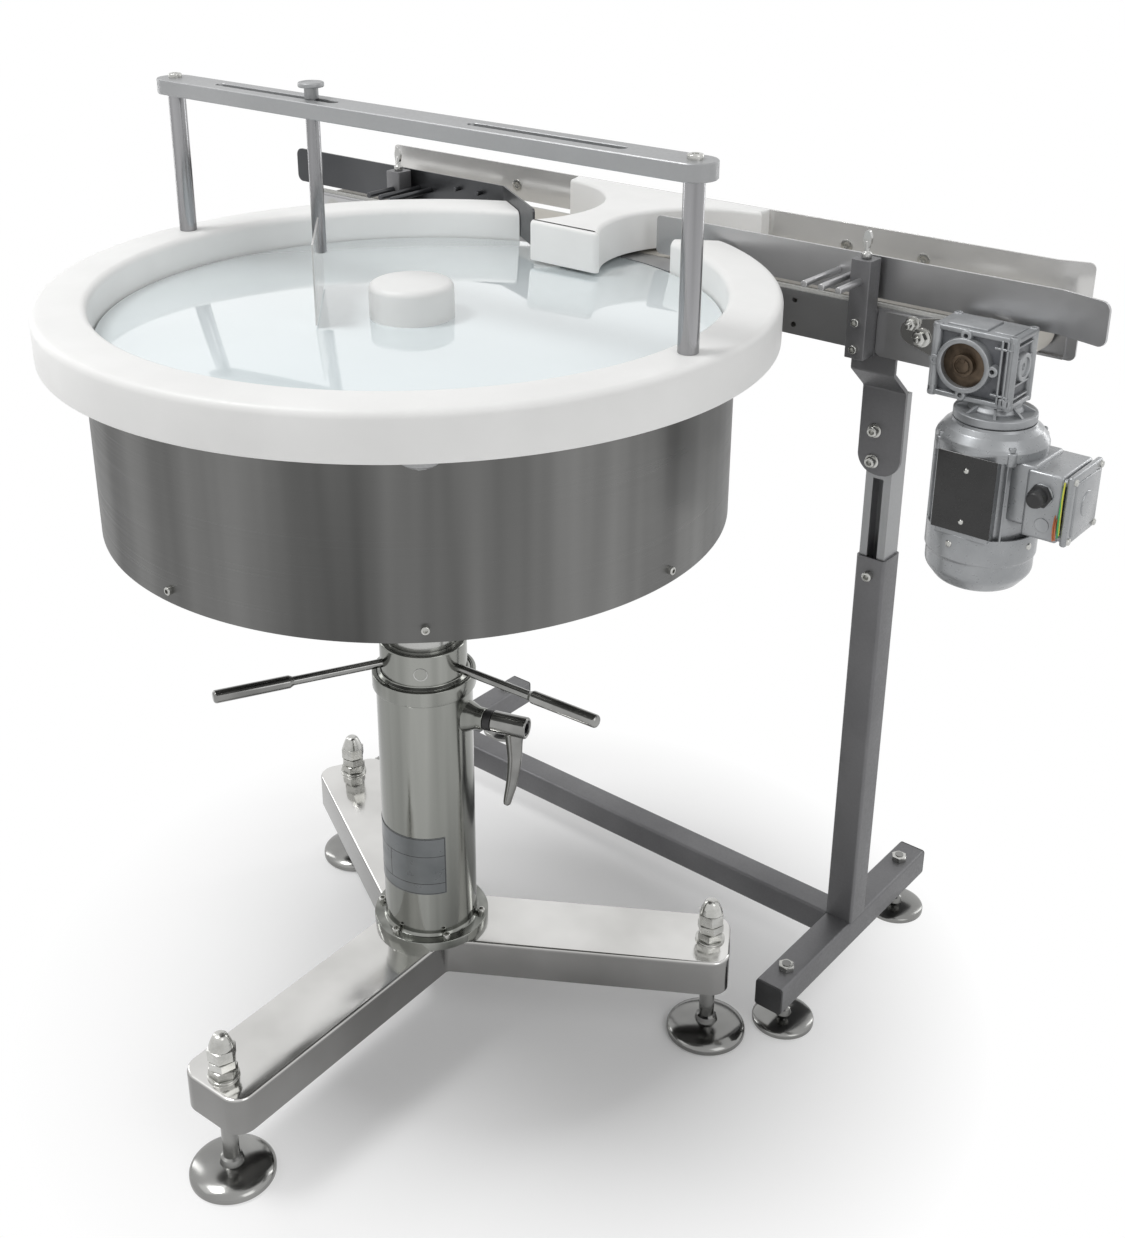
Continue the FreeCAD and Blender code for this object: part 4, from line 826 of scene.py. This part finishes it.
def makeBrackets():
    # a bent plate drawn as its side line with a wall, its lower end rounded
    b, x0 = bracket, stand["x"]
    bends = softProfile([(b["top"], b["high"]), (b["top"], 894, 5), (b["foot"], 864, 5),
        (b["foot"], b["low"])], 5)
    run = np.concatenate([[0], np.hypot(*np.diff(bends, axis=0).T).cumsum()])
    rows = np.union1d(run, np.linspace(run[-1] - 24, run[-1], 18))
    side = np.stack([np.interp(rows, run, bends[:, i]) for i in (0, 1)], -1)
    across = leftOf(np.gradient(side, axis=0))
    plates, bolts = [], []
    for sign in (-1, 1):
        t = np.linspace(-1, 1, 25)[None]
        level = side[:, 1][:, None]
        # the half width shrinks on an arc near the lower end
        short = np.clip((b["low"] + b["round"] - level) / b["round"], 0, 1)
        half = b["wide"] / 2 - b["round"] * (1 - np.sqrt(np.clip(1 - short ** 2, 0, 1)))
        grids = []
        for face in (side, side + b["thick"] * across):
            g = np.zeros((len(side), 25, 3))
            g[..., 0] = sign * x0 + t * half
            g[..., 1], g[..., 2] = face[:, 0][:, None], face[:, 1][:, None]
            grids.append(g)
        n, m = len(side), 25
        pts = np.reshape(grids, (-1, 3))
        faces = gridFaces(n, m) + [[i + n * m for i in f] for f in gridFaces(n, m)]
        edge = (list(range(m)) + [i * m + m - 1 for i in range(1, n)]
            + [(n - 1) * m + i for i in range(m - 2, -1, -1)]
            + [i * m for i in range(n - 2, 0, -1)])
        faces += [[a, z, z + n * m, a + n * m] for a, z in zip(edge, edge[1:] + edge[:1])]
        plates.append((pts, faces))
        for z in b["boltZ"]:
            bolts.append(lathe([(9, 0), (9, 1.6, 0.4)], 2, (sign * x0 - 8, b["foot"], z),
                (0, -1, 0), 28))
            bolts.append(socketHead(8, 13, 8, (sign * x0 - 8, 410.6, z), (0, -1, 0), 28))
        bolts += [lathe([(0, 0), (6, 0), (5, 3.2, 2), (0, 4)], 4,
            (sign * x0 + x, 382, b["rivetZ"]), (0, 1, 0), 20) for x in b["rivetX"]]
    meshPiece("heightBrackets", plates, "conveyor", "blastedSteel", ["height_brackets"],
        0.5)
    meshPiece("bracketBolts", bolts, "conveyor", "zincPlated")


makeLegs()
makeStand()
makeBrackets()
print("foot and stand made")


# belt, guides and transfer block

lane = {"y": 433.5, "front": 375.5, "back": 488.5, "sheet": 3, "low": 985, "high": 1034, "belt": 2,
    "half": 50, "pulley": 25, "pulleyX": 522, "pulleyZ": 952}


def makeBelt():
    # a stadium loop: distance along it gives the point, one loop per face and edge
    r, x = lane["pulley"], lane["pulleyX"]
    t = np.linspace(-math.pi / 2, math.pi / 2, 25)

    def loop(radius):
        z, level = lane["pulleyZ"], np.ones(28)
        across = np.linspace(x, -x, 30)[1:-1]
        return np.concatenate([circleAt(x, z, radius, t),
            np.stack([across, level * (z + radius)], -1), circleAt(-x, z, -radius, t),
            np.stack([-across, level * (z - radius)], -1)])

    outer, inner = loop(r + lane["belt"]), loop(r)
    rows = [(outer, -lane["half"]), (outer, lane["half"]), (inner, lane["half"]),
        (inner, -lane["half"])]
    belt = stacked([placed(flat, lane["y"] + y, "xz") for flat, y in rows], True)
    meshPiece("conveyorBelt", belt, "conveyor", "beltCloth", ["conveyor_belt"])


def guidePlate(line, lowZ, highZ, roundStart, roundEnd):
    # a sheet standing on a plan line; its end corners are rounded by trimming its height
    line = np.asarray(line, float)
    seg = np.linalg.norm(np.diff(line, axis=0), axis=1)
    s = np.concatenate([[0], np.cumsum(seg)])
    q = np.sin(np.linspace(0, math.pi / 2, 9))
    marks = [s, roundStart * (1 - q) if roundStart else [0],
        s[-1] - roundEnd * (1 - q) if roundEnd else [s[-1]]]
    where = np.unique(np.round(np.concatenate(marks), 4))
    x, y = np.interp(where, s, line[:, 0]), np.interp(where, s, line[:, 1])
    trim = np.zeros(len(where))
    for radius, gone in ((roundStart, where), (roundEnd, s[-1] - where)):
        if radius:
            short = np.clip(1 - gone / radius, 0, 1)
            trim = np.maximum(trim, radius * (1 - np.sqrt(1 - short ** 2)))
    across = leftOf(np.gradient(np.stack([x, y], -1), axis=0)) * lane["sheet"]
    low, high = lowZ + trim, highZ - trim
    return folded([np.column_stack([x + side * across[:, 0], y + side * across[:, 1], level])
        for side, level in ((0, low), (0, high), (1, high), (1, low))])


def guideRod(x, y0, y1, z=1009):
    return lathe([(4, 0, 0.8), (4, y1 - y0, 0.8)], 3, (x, y0, z), (0, 1, 0), 24)


guides = {"flare": 16, "right": (66, 594, 60), "left": (-602, -190, 140), "leftTurn": -33.5,
    "back": (-507, 540, 42), "rodStep": 22, "rodY": 297.5, "backRod": 81, "pinX": (-272, -231),
    "screwX": (-262, 273, 377), "backScrewY": 509, "wingY": 358}


def bentGuide(start, bend, length, y, degrees, *ends):
    # a straight run to the bend and a length beyond it, turned by the angle
    dx, dy = onCircle(length, degrees)
    line = [(start, y), (bend, y), (bend + dx, y + dy)]
    return guidePlate(line, lane["low"], lane["high"], *ends)


def guideRods(side, y0, y1):
    return [guideRod(side * (guideBlock["x"] - guides["rodStep"] * k), y0, y1) for k in range(3)]


def makeGuides():
    g, f, b, high = guides, lane["front"], lane["back"], lane["high"]
    right = bentGuide(*g["right"], f, -g["flare"], 6, 10)
    meshPiece("frontGuideRight", [right, *guideRods(1, g["rodY"], f)], "guide_right", "sheetSteel",
        ["front_guide_right"], 0.5)
    left = bentGuide(*g["left"], f, g["leftTurn"], 10, 4)
    pins = [lathe([(3, 0, 0.5), (3, 9, 0.5)], 2, (x, f - 9, high - 15), (0, 1, 0), 16)
        for x in g["pinX"]]
    # the left guide's darker sheet steel is a painted dark reflection, not a different metal
    meshPiece("frontGuideLeft", [left, *guideRods(-1, g["rodY"], f), *pins], "guide_left",
        "sheetSteelPaintedShade", ["front_guide_left"], 0.5)
    back = bentGuide(*g["back"], b, g["flare"], 6, 8)
    rods = [rod for side in (1, -1) for rod in guideRods(side, b + 3, b + g["backRod"])]
    meshPiece("backGuide", [back, *rods], "conveyor", "mirrorSheet", ["back_guide"], 0.5)
    parts = [lathe([(8, 0), (8, 1.2, 0.4), (4.6, 1.4), (4.4, 0.8), (2, 0.6), (1.8, 0.2)], 2,
        (x, b - 0.2, high - 28), (0, -1, 0), 28) for x in g["screwX"]]
    parts += [socketHead(6, 10, 6, (side * guideBlock["x"], g["backScrewY"],
        guideBlock["backTop"]), (0, 0, 1), 24) for side in (-1, 1)]
    meshPiece("backGuideScrews", parts, "conveyor", "zincPlated", ["back_guide_screws"])
    for side, name in ((-1, "left"), (1, "right")):
        key = wingScrew(side * guideBlock["x"], g["wingY"])
        meshPiece("wingScrew_" + name, key, "lock_" + name, "turnedSteel",
            ["wing_screw_front_" + name], 0.4)


def wingScrew(x, y):
    top = lane["high"]
    stem = lathe([(3, 1013.4), (3, top + 0.4), (6, top + 0.4, 0.6), (6, top + 6, 1),
        (3.2, top + 8, 1), (2.8, top + 20, 1)], 3, (x, y, 0), segments=24)
    t = fullTurn(28)
    # the key: a flat oval, narrower than it is high
    outline = np.stack([x + 5.2 * np.cos(t), top + 21.5 + 11 * np.sin(t)], -1)
    return [stem, prism(outline, y - 2.2, y + 2.2, "xz")]


guideBlock = {"x": 370.5, "half": 12.5, "deep": 25, "frontY": 345.5, "backY": 496.5, "low": 917,
    "backTop": 1012, "spacer": 3, "spacerTop": 973, "screwZ": (961, 929)}


def makeGuideBlocks():
    g, parts, screws = guideBlock, [], []
    half, low = g["half"], g["low"]
    for x in (-g["x"], g["x"]):
        for y0, out, top in ((g["frontY"], -1, lane["high"]), (g["backY"], 1, g["backTop"])):
            y1 = y0 + g["deep"]
            outer, inner = (y0, y1) if out < 0 else (y1, y0)
            parts.append(prism(rounded(x - half, x + half, y0, y1, 1.5, 3), low, top))
            spacer = sorted((inner, inner - out * g["spacer"]))
            parts.append(boxOf(x - half, x + half, *spacer, low, g["spacerTop"]))
            screws += [socketHead(6, 10, 5, (x, outer, z), (0, out, 0), 24) for z in g["screwZ"]]
    meshPiece("guideBlocks", parts, "conveyor", "blastedSteel", ["guide_blocks"], 0.6)
    meshPiece("guideBlockScrews", screws, "conveyor", "zincPlated")


def arcThrough(a, b, c, steps):
    # points of the circle through three points, from the first to the last
    a, b, c = (np.array(p, float) for p in (a, b, c))
    m = np.array([b - a, c - a]) * 2
    centre = np.linalg.solve(m, [b @ b - a @ a, c @ c - a @ a])
    angles = np.unwrap([math.atan2(*(p - centre)[::-1]) for p in (a, b, c)])
    t = np.linspace(angles[0], angles[2], steps)
    return centre + np.linalg.norm(a - centre) * np.stack([np.cos(t), np.sin(t)], -1)


# the arcs' points: along the belt, and how far in front of the back guide
transfer = {"round": 6, "low": 983, "arcs": (
    (((-150, 18), (-21, 143.5), (-43, 228.5)), 40),
    (((-43, 228.5), (-40.8, 233.1), (-36, 234.5)), 6),
    (((57, 234.5), (61.9, 233.1), (64, 228.5)), 6),
    (((64, 228.5), (37, 128.5), (160, 18)), 40))}


def makeTransferBlock():
    back, r, low = lane["back"], transfer["round"], transfer["low"]
    left, leftNose, rightNose, right = (arcThrough(*[(x, back - y) for x, y in points], steps)
        for points, steps in transfer["arcs"])
    outline = np.concatenate([[(left[0, 0], back)], left, leftNose[1:], rightNose[:-1], right,
        [(right[-1, 0], back)]])
    inward = leftOf(np.roll(outline, -1, 0) - np.roll(outline, 1, 0))
    t = np.linspace(0, math.pi / 2, 6)
    rows = [(1, low), (0, low + 1)]
    rows += [(r * (1 - math.cos(q)), lane["high"] - r + r * math.sin(q)) for q in t]
    keep = np.where(np.abs(outline[:, 1] - back) < 1e-6, 0, 1)[:, None]
    block = stacked([placed(outline + inward * inset * keep, z) for inset, z in rows])
    meshPiece("transferBlock", block, "conveyor", "polyethylene",
        ["transfer_block"])


makeBelt()
makeGuides()
makeGuideBlocks()
makeTransferBlock()
print("conveyor made")


# worm gearbox and motor

gearbox = {"x": 522, "z": 952, "x0": 482, "x1": 579, "y0": 305, "y1": 368, "z0": 912, "z1": 992,
    "ring": 30.5, "recess": 25.5}
motor = {"x": 552, "y": 336.5, "top": 892, "body": 57, "fin": 60, "finLow": 764, "finHigh": 862,
    "cover": 61, "coverLow": 700, "coverTop": 764, "fins": 30, "bare": ((245, 296), (322, 398))}


def roundedBox(x0, x1, y0, y1, z0, z1, radius, steps=3):
    # rows of a rounded rectangle, drawn in towards both ends along a quarter circle
    t = np.linspace(0, math.pi / 2, steps + 1)
    rows = [(radius * (1 - math.sin(q)), z0 + radius * (1 - math.cos(q))) for q in t]
    rows += [(radius * (1 - math.cos(q)), z1 - radius + radius * math.sin(q)) for q in t]
    loops = []
    for inset, z in rows:
        c = max(radius - inset, 0.05)
        loops.append(placed(rounded(x0 + inset, x1 - inset, y0 + inset, y1 - inset, c, 3), z))
    return stacked(loops)


def makeGearbox():
    x, z, x0, x1, y0, y1, z0, z1, ring, recess = gearbox.values()
    under = (motor["x"], motor["y"], 0)
    # the recessed core is darker than the casting: painted shade in its pockets
    core = roundedBox(x0 + 5, x1 - 5, y0 + 9, y1 - 9, z0 + 3, z1 - 3, 4)
    meshPiece("gearboxCore", core, "conveyor", "castPaintedPocketShade")
    parts = [roundedBox(x0, x1, y0 + 4, y1 - 4, low, low + 6, 1.6) for low in (z0, z1 - 6)]
    # square corner posts with their blind screw holes
    for px in (x0 + 5, x1 - 5):
        parts += [lathe([(5.4, z0 - 1, 1), (5.4, z1 + 1, 1), (2.4, z1 + 1), (2.2, z1 - 6)], 2,
            (px, py, 0), segments=20) for py in (y0 + 8, y1 - 8)]
    for face, outward in ((y0, -1), (y1, 1)):
        depth = 12
        inner = face - outward * depth
        parts.append(lathe([(recess, 0), (recess - 0.6, depth, 0.8), (ring, depth, 1.2),
            (ring + 1.5, 0)], 3, (x, inner, z), (0, outward, 0), 72, True))
        for k in range(4):
            dx, dz = onCircle(33.5, 90 * k)
            parts.append(lathe([(2.6, 2), (2.6, 11, 0.3), (6, 11, 1), (7, 0), (2.6, 0)], 3,
                (x + dx, inner, z + dz), (0, outward, 0), 24, True))
            parts.append(lathe([(2.7, 0), (2.7, 1.5)], 1, (x + dx, inner, z + dz), (0, outward, 0),
                16))
        low, high = sorted((face - outward * 2.5, face - outward * 10))
        parts += [roundedBox(px, px + 2.6, low, high, z0 + 4, z1 - 4, 0.8, 2)
            for px in (x0 + 2, x1 - 17, x1 - 10.5, x1 - 4.4)]
        parts += [roundedBox(x1 - 24, x1 - 2, low, high, pz, pz + 2.6, 0.8, 2)
            for pz in (z0 + 13, z1 - 15)]
        parts.append(roundedBox(x0 + 1, x0 + 9, low, high, z0 + 1, z0 + 11, 1.5, 2))
        parts.append(roundedBox(x1 - 14, x1 - 1, low, high, z0 + 1, z0 + 12, 1.5, 2))
    # the side away from the belt: a frame of ribs about a bearing cap
    parts += [roundedBox(x1 - 7, x1 - 0.5, py, py + 4, z0 + 3, z1 - 3, 1.2, 2)
        for py in (y0 + 8, y1 - 12)]
    parts += [roundedBox(x1 - 7, x1 - 1.5, y0 + 10, y1 - 10, pz, pz + 2.4, 0.8, 2)
        for pz in (z0 + 9, z0 + 24, z1 - 28, z1 - 13)]
    parts.append(lathe([(17, 0), (15.5, 7, 1.2), (11, 7, 0.4), (10.6, 5, 0.4), (4, 5, 0.3),
        (3.6, 3.4)], 3, (x1 - 7, y0 + 31.5, z + 3), (1, 0, 0), 48))
    # top pad with two screw bosses, and the raised plate that carries a bare label
    parts.append(roundedBox(x0 + 14, x0 + 60, y0 + 10, y1 - 12, z1 - 2, z1 + 2.5, 1.5, 2))
    parts.append(roundedBox(x0 + 66, x1 - 8, y0 + 12, y1 - 14, z1 - 2, z1 + 1.2, 1, 2))
    parts.append(lathe([(30, 903), (30, 905), (27, 909, 2), (27, 915)], 3, under, segments=64))
    for k in range(8):
        web = boxOf(20, 41, -1.6, 1.6, 902, 914)
        v = np.array(web[0])
        v[(v[:, 0] > 30) & (v[:, 2] > 905), 2] = 904
        parts.append(movedBy(turnedBy((v, web[1]), 22.5 + 45 * k), *under))
    parts.append(lathe([(44, 892.6, 1), (45, 894, 1), (45, 902, 1.5), (41, 903, 1)], 3, under,
        segments=96))
    meshPiece("wormGearbox", parts, "conveyor", "castAlloy", ["worm_gearbox"], 0.4)
    shaft = lathe([(12.5, 0), (12.5, 9, 1), (9, 9.6, 0.4), (8.6, 7, 0.2), (7.2, 7, 0.2),
        (7.2, 8, 0.5)], 2, (x, y0 + 9, z), (0, -1, 0), 48)
    floorDisc = lathe([(0, -1), (recess + 0.2, -1), (recess + 0.2, 0.6), (18, 1.6, 2), (0, 2)], 3,
        (x, y0 + 9, z), (0, -1, 0), 56)
    key = movedBy(boxOf(-2.2, 2.2, 0, 2, 3.5, 9.4), x, y0 + 0.2, z)
    meshPiece("gearboxShaft", [floorDisc, shaft, key], "conveyor", "oiledBronze", [],
        0.3)


torqueArm = {"x": 430, "z": 956, "end": 15, "hub": 38, "hole": 17, "y0": 368, "y1": 370.5,
    "boltX": (430, 442), "boltZ": (966, 952)}


def makeTorqueArm():
    # two circles of the arm and their common tangents, with the hub's round hole between rows
    k = torqueArm
    far, turn = gearbox["x"] - k["x"], fullTurn(64)
    rise = gearbox["z"] - k["z"]
    slope = math.atan2(rise, far)
    lean = math.acos((k["end"] - k["hub"]) / math.hypot(far, rise))
    inside = circleAt(gearbox["x"], gearbox["z"], k["hole"], turn)
    # each direction from the hub meets either the hub's own circle or the arm's outline
    big = circleAt(gearbox["x"], gearbox["z"], k["hub"], turn)
    away = np.abs((turn - slope) % (2 * math.pi) - math.pi)
    arm = away < math.pi - lean
    share = np.clip(away / (math.pi - lean), 0, 1)
    sign = np.where((turn - slope) % (2 * math.pi) < math.pi, 1, -1)
    tipTurn = slope + math.pi - sign * share * (math.pi - lean)
    tip = circleAt(k["x"], k["z"], k["end"], tipTurn)
    outer = np.where(arm[:, None], tip, big)
    rows = [(inside, k["y0"]), (outer, k["y0"]), (outer, k["y1"]), (inside, k["y1"])]
    plate = stacked([placed(flat, y, "xz") for flat, y in rows], True)
    meshPiece("torqueArm", plate, "conveyor", "polishedSteel", ["torque_arm"], 0.4)
    bolts = []
    for x, z, flats in ((k["boltX"][0], k["boltZ"][0], 11), (k["boltX"][1], k["boltZ"][1], 14)):
        bolts.append(lathe([(flats * 0.8, 0), (flats * 0.8, 1.8, 0.4)], 2, (x, k["y0"] - 0.1, z),
            (0, -1, 0), 28))
        bolts.append(hexPrism(flats, 1.8, 9, (x, k["y0"], z), (0, -1, 0), 1))
        bolts.append(lathe([(3.4, 9), (3.4, 15, 0.8)], 2, (x, k["y0"], z), (0, -1, 0), 20))
    meshPiece("torqueArmBolts", bolts, "conveyor", "zincPlated")


def makeMotor():
    x, y, top, body, finR, finLow, finHigh, coverR, coverLow, c, fins, bare = motor.values()
    # c is the height at which the cover meets the housing, bare the angles without fins
    shield = lathe([(45, top), (46, top - 3, 1), (53, top - 8, 5), (finR - 0.5, top - 17, 6),
        (finR + 1, top - 21, 1), (finR + 1, top - 31, 1), (body, top - 32, 0.5)], 5, (x, y, 0),
        segments=128)
    core = lathe([(body - 3, finLow - 3), (body - 3, top - 30)], 2, (x, y, 0), segments=96)
    parts = [shield, core]
    for k in range(fins):
        fin = roundedBox(body - 4, finR + 1, -1.1, 1.1, finLow, finHigh, 0.7, 1)
        angle = 360 / fins * k
        if not any(a < (angle - a) % 360 + a < b for a, b in bare):
            parts.append(movedBy(turnedBy(fin, angle), x, y))
    for k in range(4):
        px, py = onCircle(finR - 3, 45 + 90 * k)
        parts.append(lathe([(0, 0), (6.5, 0, 1), (6.5, 15, 2), (0, 16)], 3,
            (x + px, y + py, top - 34), segments=20))
        parts.append(socketHead(5, 8.5, 4.5, (x + px, y + py, top - 18), (0, 0, 1), 18))
    # saddle that carries the terminal box, and the flat that carries the plate
    parts.append(roundedBox(x + 38, x + 68, y - 36, y + 36, 792, 862, 4))
    parts.append(roundedBox(x - 30, x + 32, y - finR - 0.5, y - 40, finLow + 4, 861, 2))
    meshPiece("motorHousing", parts, "conveyor", "motorPaint", ["motor_housing"])
    cover = lathe([(coverR - 2, c + 6), (coverR, c + 6, 0.6), (coverR, c - 24, 3),
        (coverR - 2, c - 27, 3), (coverR - 2, coverLow + 18, 14), (coverR - 16, coverLow, 12),
        (30, coverLow), (30, coverLow + 2), (coverR - 17, coverLow + 2, 12),
        (coverR - 4, coverLow + 19, 12), (coverR - 4, c - 26)], 6, (x, y, 0), segments=128,
        closed=True)
    meshPiece("fanCover", cover, "conveyor", "motorPaint", ["fan_cover"])
    rings = [lathe(rounded(r - 1.1, r + 1.1, 0, 1.8, 0.5, 2), 1, (x, y, coverLow + 0.2),
        segments=48, closed=True) for r in (6, 12, 18, 24, 30)]
    for k in range(4):
        bar = boxOf(0, 31, -1, 1, coverLow + 0.4, coverLow + 2)
        rings.append(movedBy(turnedBy(bar, 90 * k + 45), x, y))
    meshPiece("fanGuard", rings, "conveyor", "zincPlated")
    screws = []
    for k in range(4):
        out = radial(1, 0, -100 + 90 * k)
        px, py = onCircle(coverR - 0.6, -100 + 90 * k)
        screws.append(lathe([(0, 0), (4.2, 0), (3.6, 2, 1.4), (0, 2.6)], 4,
            (x + px, y + py, c - 6), out, 18))
    plateBack = y - finR - 0.5
    screws += [lathe([(0, 0), (3.2, 0), (2.6, 1.6, 1.2), (0, 2)], 4, (x + 1.5, plateBack - 1, dz),
        (0, -1, 0), 16) for dz in (848, 788)]
    meshPiece("motorScrews", screws, "conveyor", "zincPlated")
    plate = roundedBox(x - 33, x + 35, plateBack - 1, plateBack, 775, 866, 0.4, 1)
    meshPiece("motorPlate", plate, "conveyor", "blackEnamel")


terminal = {"x0": 616.8, "x1": 651.8, "gland": 834, "leads": {
    "Yellow": [[(-40.6, 857), (-42.4, 838), (-41.8, 812), (-40, 792)]],
    "Green": [[(-39, 852), (-42.6, 830), (-43, 806), (-40, 789)]],
    "Orange": [[(-39, 812), (-42, 806), (-42, 795), (-39, 786)],
               [(-38, 816), (-41, 808), (-41.4, 797), (-38, 784)]]}}


def makeTerminalBox():
    y, x0, x1, z = motor["y"], terminal["x0"], terminal["x1"], terminal["gland"]
    parts = [roundedBox(x0 - 6, x1, y - 39, y + 39, 782, 859, 4)]
    parts.append(lathe([(13, 0), (13, 3, 1)], 3, (x0 + 13, y - 38.5, z), (0, -1, 0), 36))
    parts.append(lathe([(0, 0), (8, 0), (8, 1.6, 0.6), (5, 1.8), (0, 1)], 3,
        (x0 + 17, y - 38.5, 800), (0, -1, 0), 30))
    for py in (-33, 33):
        parts += [lathe([(4.5, 0), (4.5, 12, 1)], 2, (x1 - 2, y + py, pz), (1, 0, 0), 18)
            for pz in (789, 852)]
    meshPiece("terminalBox", parts, "conveyor", "motorPaint", ["terminal_box"])
    gland = lathe([(11, 0), (11, 3, 0.6), (9.6, 5, 0.6), (9.6, 16, 1), (8, 20, 3)], 4,
        (x0 + 13, y - 41, z), (0, -1, 0), 40)
    meshPiece("cableGland", [gland, hexPrism(23, 0, 5, (x0 + 13, y - 41, z), (0, -1, 0), 1)],
        "conveyor", "blackPlastic")
    lid = [roundedBox(x1 + 3, x1 + 10.5, y - 40, y + 40, 781, 861, 3)]
    lid.append(roundedBox(x1 + 8, x1 + 12.4, y - 31, y + 31, 790, 852, 3))
    lid.append(lathe([(15, 0), (14, 1.6, 0.8)], 4, (x1 + 12, y, 821), (1, 0, 0), 48))
    meshPiece("terminalCover", lid, "conveyor", "motorPaint", ["terminal_cover"])
    # short insulated leads between the box and its cover, drawn as tubes along soft lines
    for colour, lines in terminal["leads"].items():
        runs = []
        for i, line in enumerate(lines):
            at = x1 + 0.9 + {"Yellow": 0.9, "Green": 0}.get(colour, -3 - 2.2 * i)
            py, pz = (np.interp(np.linspace(0, 3, 25), range(4), v) for v in np.array(line).T)
            path = [np.convolve(np.pad(v, 3, "edge"), np.ones(7) / 7, "valid")
                for v in (np.full(25, at), y + py, pz)]
            runs.append(tube(np.stack(path, -1), np.full(25, 0.9), 12))
        meshPiece("leads" + colour, runs, "conveyor", "wire" + colour)
    heads = [lathe([(0, 0), (4, 0), (3.6, 2.4, 1), (0, 2.6)], 3, (x1 + 10.4, y + py, pz),
        (1, 0, 0), 18) for py in (-34, 34) for pz in (787, 855)]
    meshPiece("terminalScrews", heads, "conveyor", "zincPlated")


makeGearbox()
makeTorqueArm()
makeMotor()
makeTerminalBox()
print("gearmotor made")


# floor, light and camera

room = {"floorColour": (0.96, 0.96, 0.96), "fade": (0.28, 0.66), "world": 0.5, "top": 84, "key": 8,
    "fill": 18, "strip": 11}


def seenRays(tree):
    # 1 for what the camera sees, straight or in metal and glass, and 0 for light
    value = added(tree, "LightPath", output="Is Camera Ray")
    rays = value.node.outputs
    for other in ("Is Glossy Ray", "Is Transmission Ray"):
        value = added(tree, "Math", {0: value, 1: rays[other]}, 0, "MAXIMUM")
    return value


def makeFloor():
    size = 30
    mesh = bpy.data.meshes.new("floor")
    mesh.from_pydata([(-size, -size, 0), (size, -size, 0), (size, size, 0), (-size, size, 0)], [],
        [(0, 1, 2, 3)])
    floor = bpy.data.objects.new("floor", mesh)
    bpy.context.scene.collection.objects.link(floor)
    material, tree, shader = newMaterial("floorPale", room["floorColour"], 0, 0.7)
    mesh.materials.append(material)
    # far from the machine the floor fades into the white background
    place = added(tree, "TexCoord", output="Object")
    distance = added(tree, "VectorMath", {0: place}, "Value", "LENGTH")
    far = rangeOf(tree, distance, 0, 1, *room["fade"])
    seen = added(tree, "Math", {0: far, 1: seenRays(tree)}, 0, "MULTIPLY")
    white = added(tree, "Emission", {"Strength": 1})
    mix = added(tree, "MixShader", {"Fac": seen, 1: shader.outputs["BSDF"], 2: white})
    tree.links.new(mix, tree.nodes["Material Output"].inputs["Surface"])


def areaLamp(name, place, target, size, power):
    data = bpy.data.lights.new(name, "AREA")
    data.shape = "RECTANGLE"
    data.size, data.size_y = size
    data.energy = power
    lamp = bpy.data.objects.new(name, data)
    bpy.context.scene.collection.objects.link(lamp)
    lamp.location = place
    lamp.rotation_mode = "QUATERNION"
    lamp.rotation_quaternion = (Vector(target) - Vector(place)).to_track_quat("-Z", "Y")
    lamp.visible_camera = False


def makeWorld():
    # rays that light the machine meet a soft level; those that are seen meet plain white
    world = bpy.data.worlds.new("studio")
    bpy.context.scene.world = world
    world.use_nodes = True
    tree = world.node_tree
    back = tree.nodes["Background"]
    back.inputs["Color"].default_value = (1, 1, 1, 1)
    back.inputs["Strength"].default_value = room["world"]
    white = added(tree, "Background", {"Color": (1, 1, 1, 1), "Strength": 1})
    mix = added(tree, "MixShader", {"Fac": seenRays(tree), 1: back.outputs["Background"],
        2: white})
    tree.links.new(mix, tree.nodes["World Output"].inputs["Surface"])


camera = {"place": (1211.37, -1229.47, 1508.97), "yaw": -0.705740, "pitch": 0.400516,
    "roll": -0.0044935, "focal": 1589.565, "centre": (523.59, 477.13), "image": (1125, 1238)}


def makeCamera():
    c = camera
    yaw, pitch, roll = c["yaw"], c["pitch"], c["roll"]
    forward = np.array([math.sin(yaw) * math.cos(pitch), math.cos(yaw) * math.cos(pitch),
        -math.sin(pitch)])
    right = np.array([math.cos(yaw), -math.sin(yaw), 0])
    up = np.cross(right, forward)
    side = math.cos(roll) * right + math.sin(roll) * up
    top = -math.sin(roll) * right + math.cos(roll) * up
    data = bpy.data.cameras.new("camera")
    view = bpy.data.objects.new("camera", data)
    bpy.context.scene.collection.objects.link(view)
    turn = Matrix(np.stack([side, top, -forward], 1).tolist()).to_4x4()
    place = np.array(c["place"]) * 0.001 + tableAxis
    view.matrix_world = Matrix.Translation(place.tolist()) @ turn
    wide, high = c["image"]
    data.sensor_width = 36
    data.lens = c["focal"] * 36 / max(wide, high)
    data.shift_x = (wide / 2 - c["centre"][0]) / max(wide, high)
    data.shift_y = (c["centre"][1] - high / 2) / max(wide, high)
    data.clip_end = 100
    bpy.context.scene.camera = view


makeFloor()
makeWorld()
areaLamp("topLamp", (-1.5, -1.6, 4.7), (0, 0, 0), (1.4, 1.4), room["top"])
areaLamp("keyLamp", (-1.8, -2.2, 3.4), (0, 0, 0.8), (2, 2), room["key"])
areaLamp("fillLamp", (3, -0.6, 2.6), (0, 0, 0.7), (1.6, 2.4), room["fill"])
areaLamp("leftStrip", (-3, -0.3, 1.5), (0, 0, 1.2), (0.4, 2.4), room["strip"])
areaLamp("rightStrip", (1.1, 3, 1.6), (0, 0, 1.2), (0.4, 2.4), room["strip"])
makeCamera()
bpy.context.scene.view_settings.view_transform = "Standard"
print("stage, light and camera set")
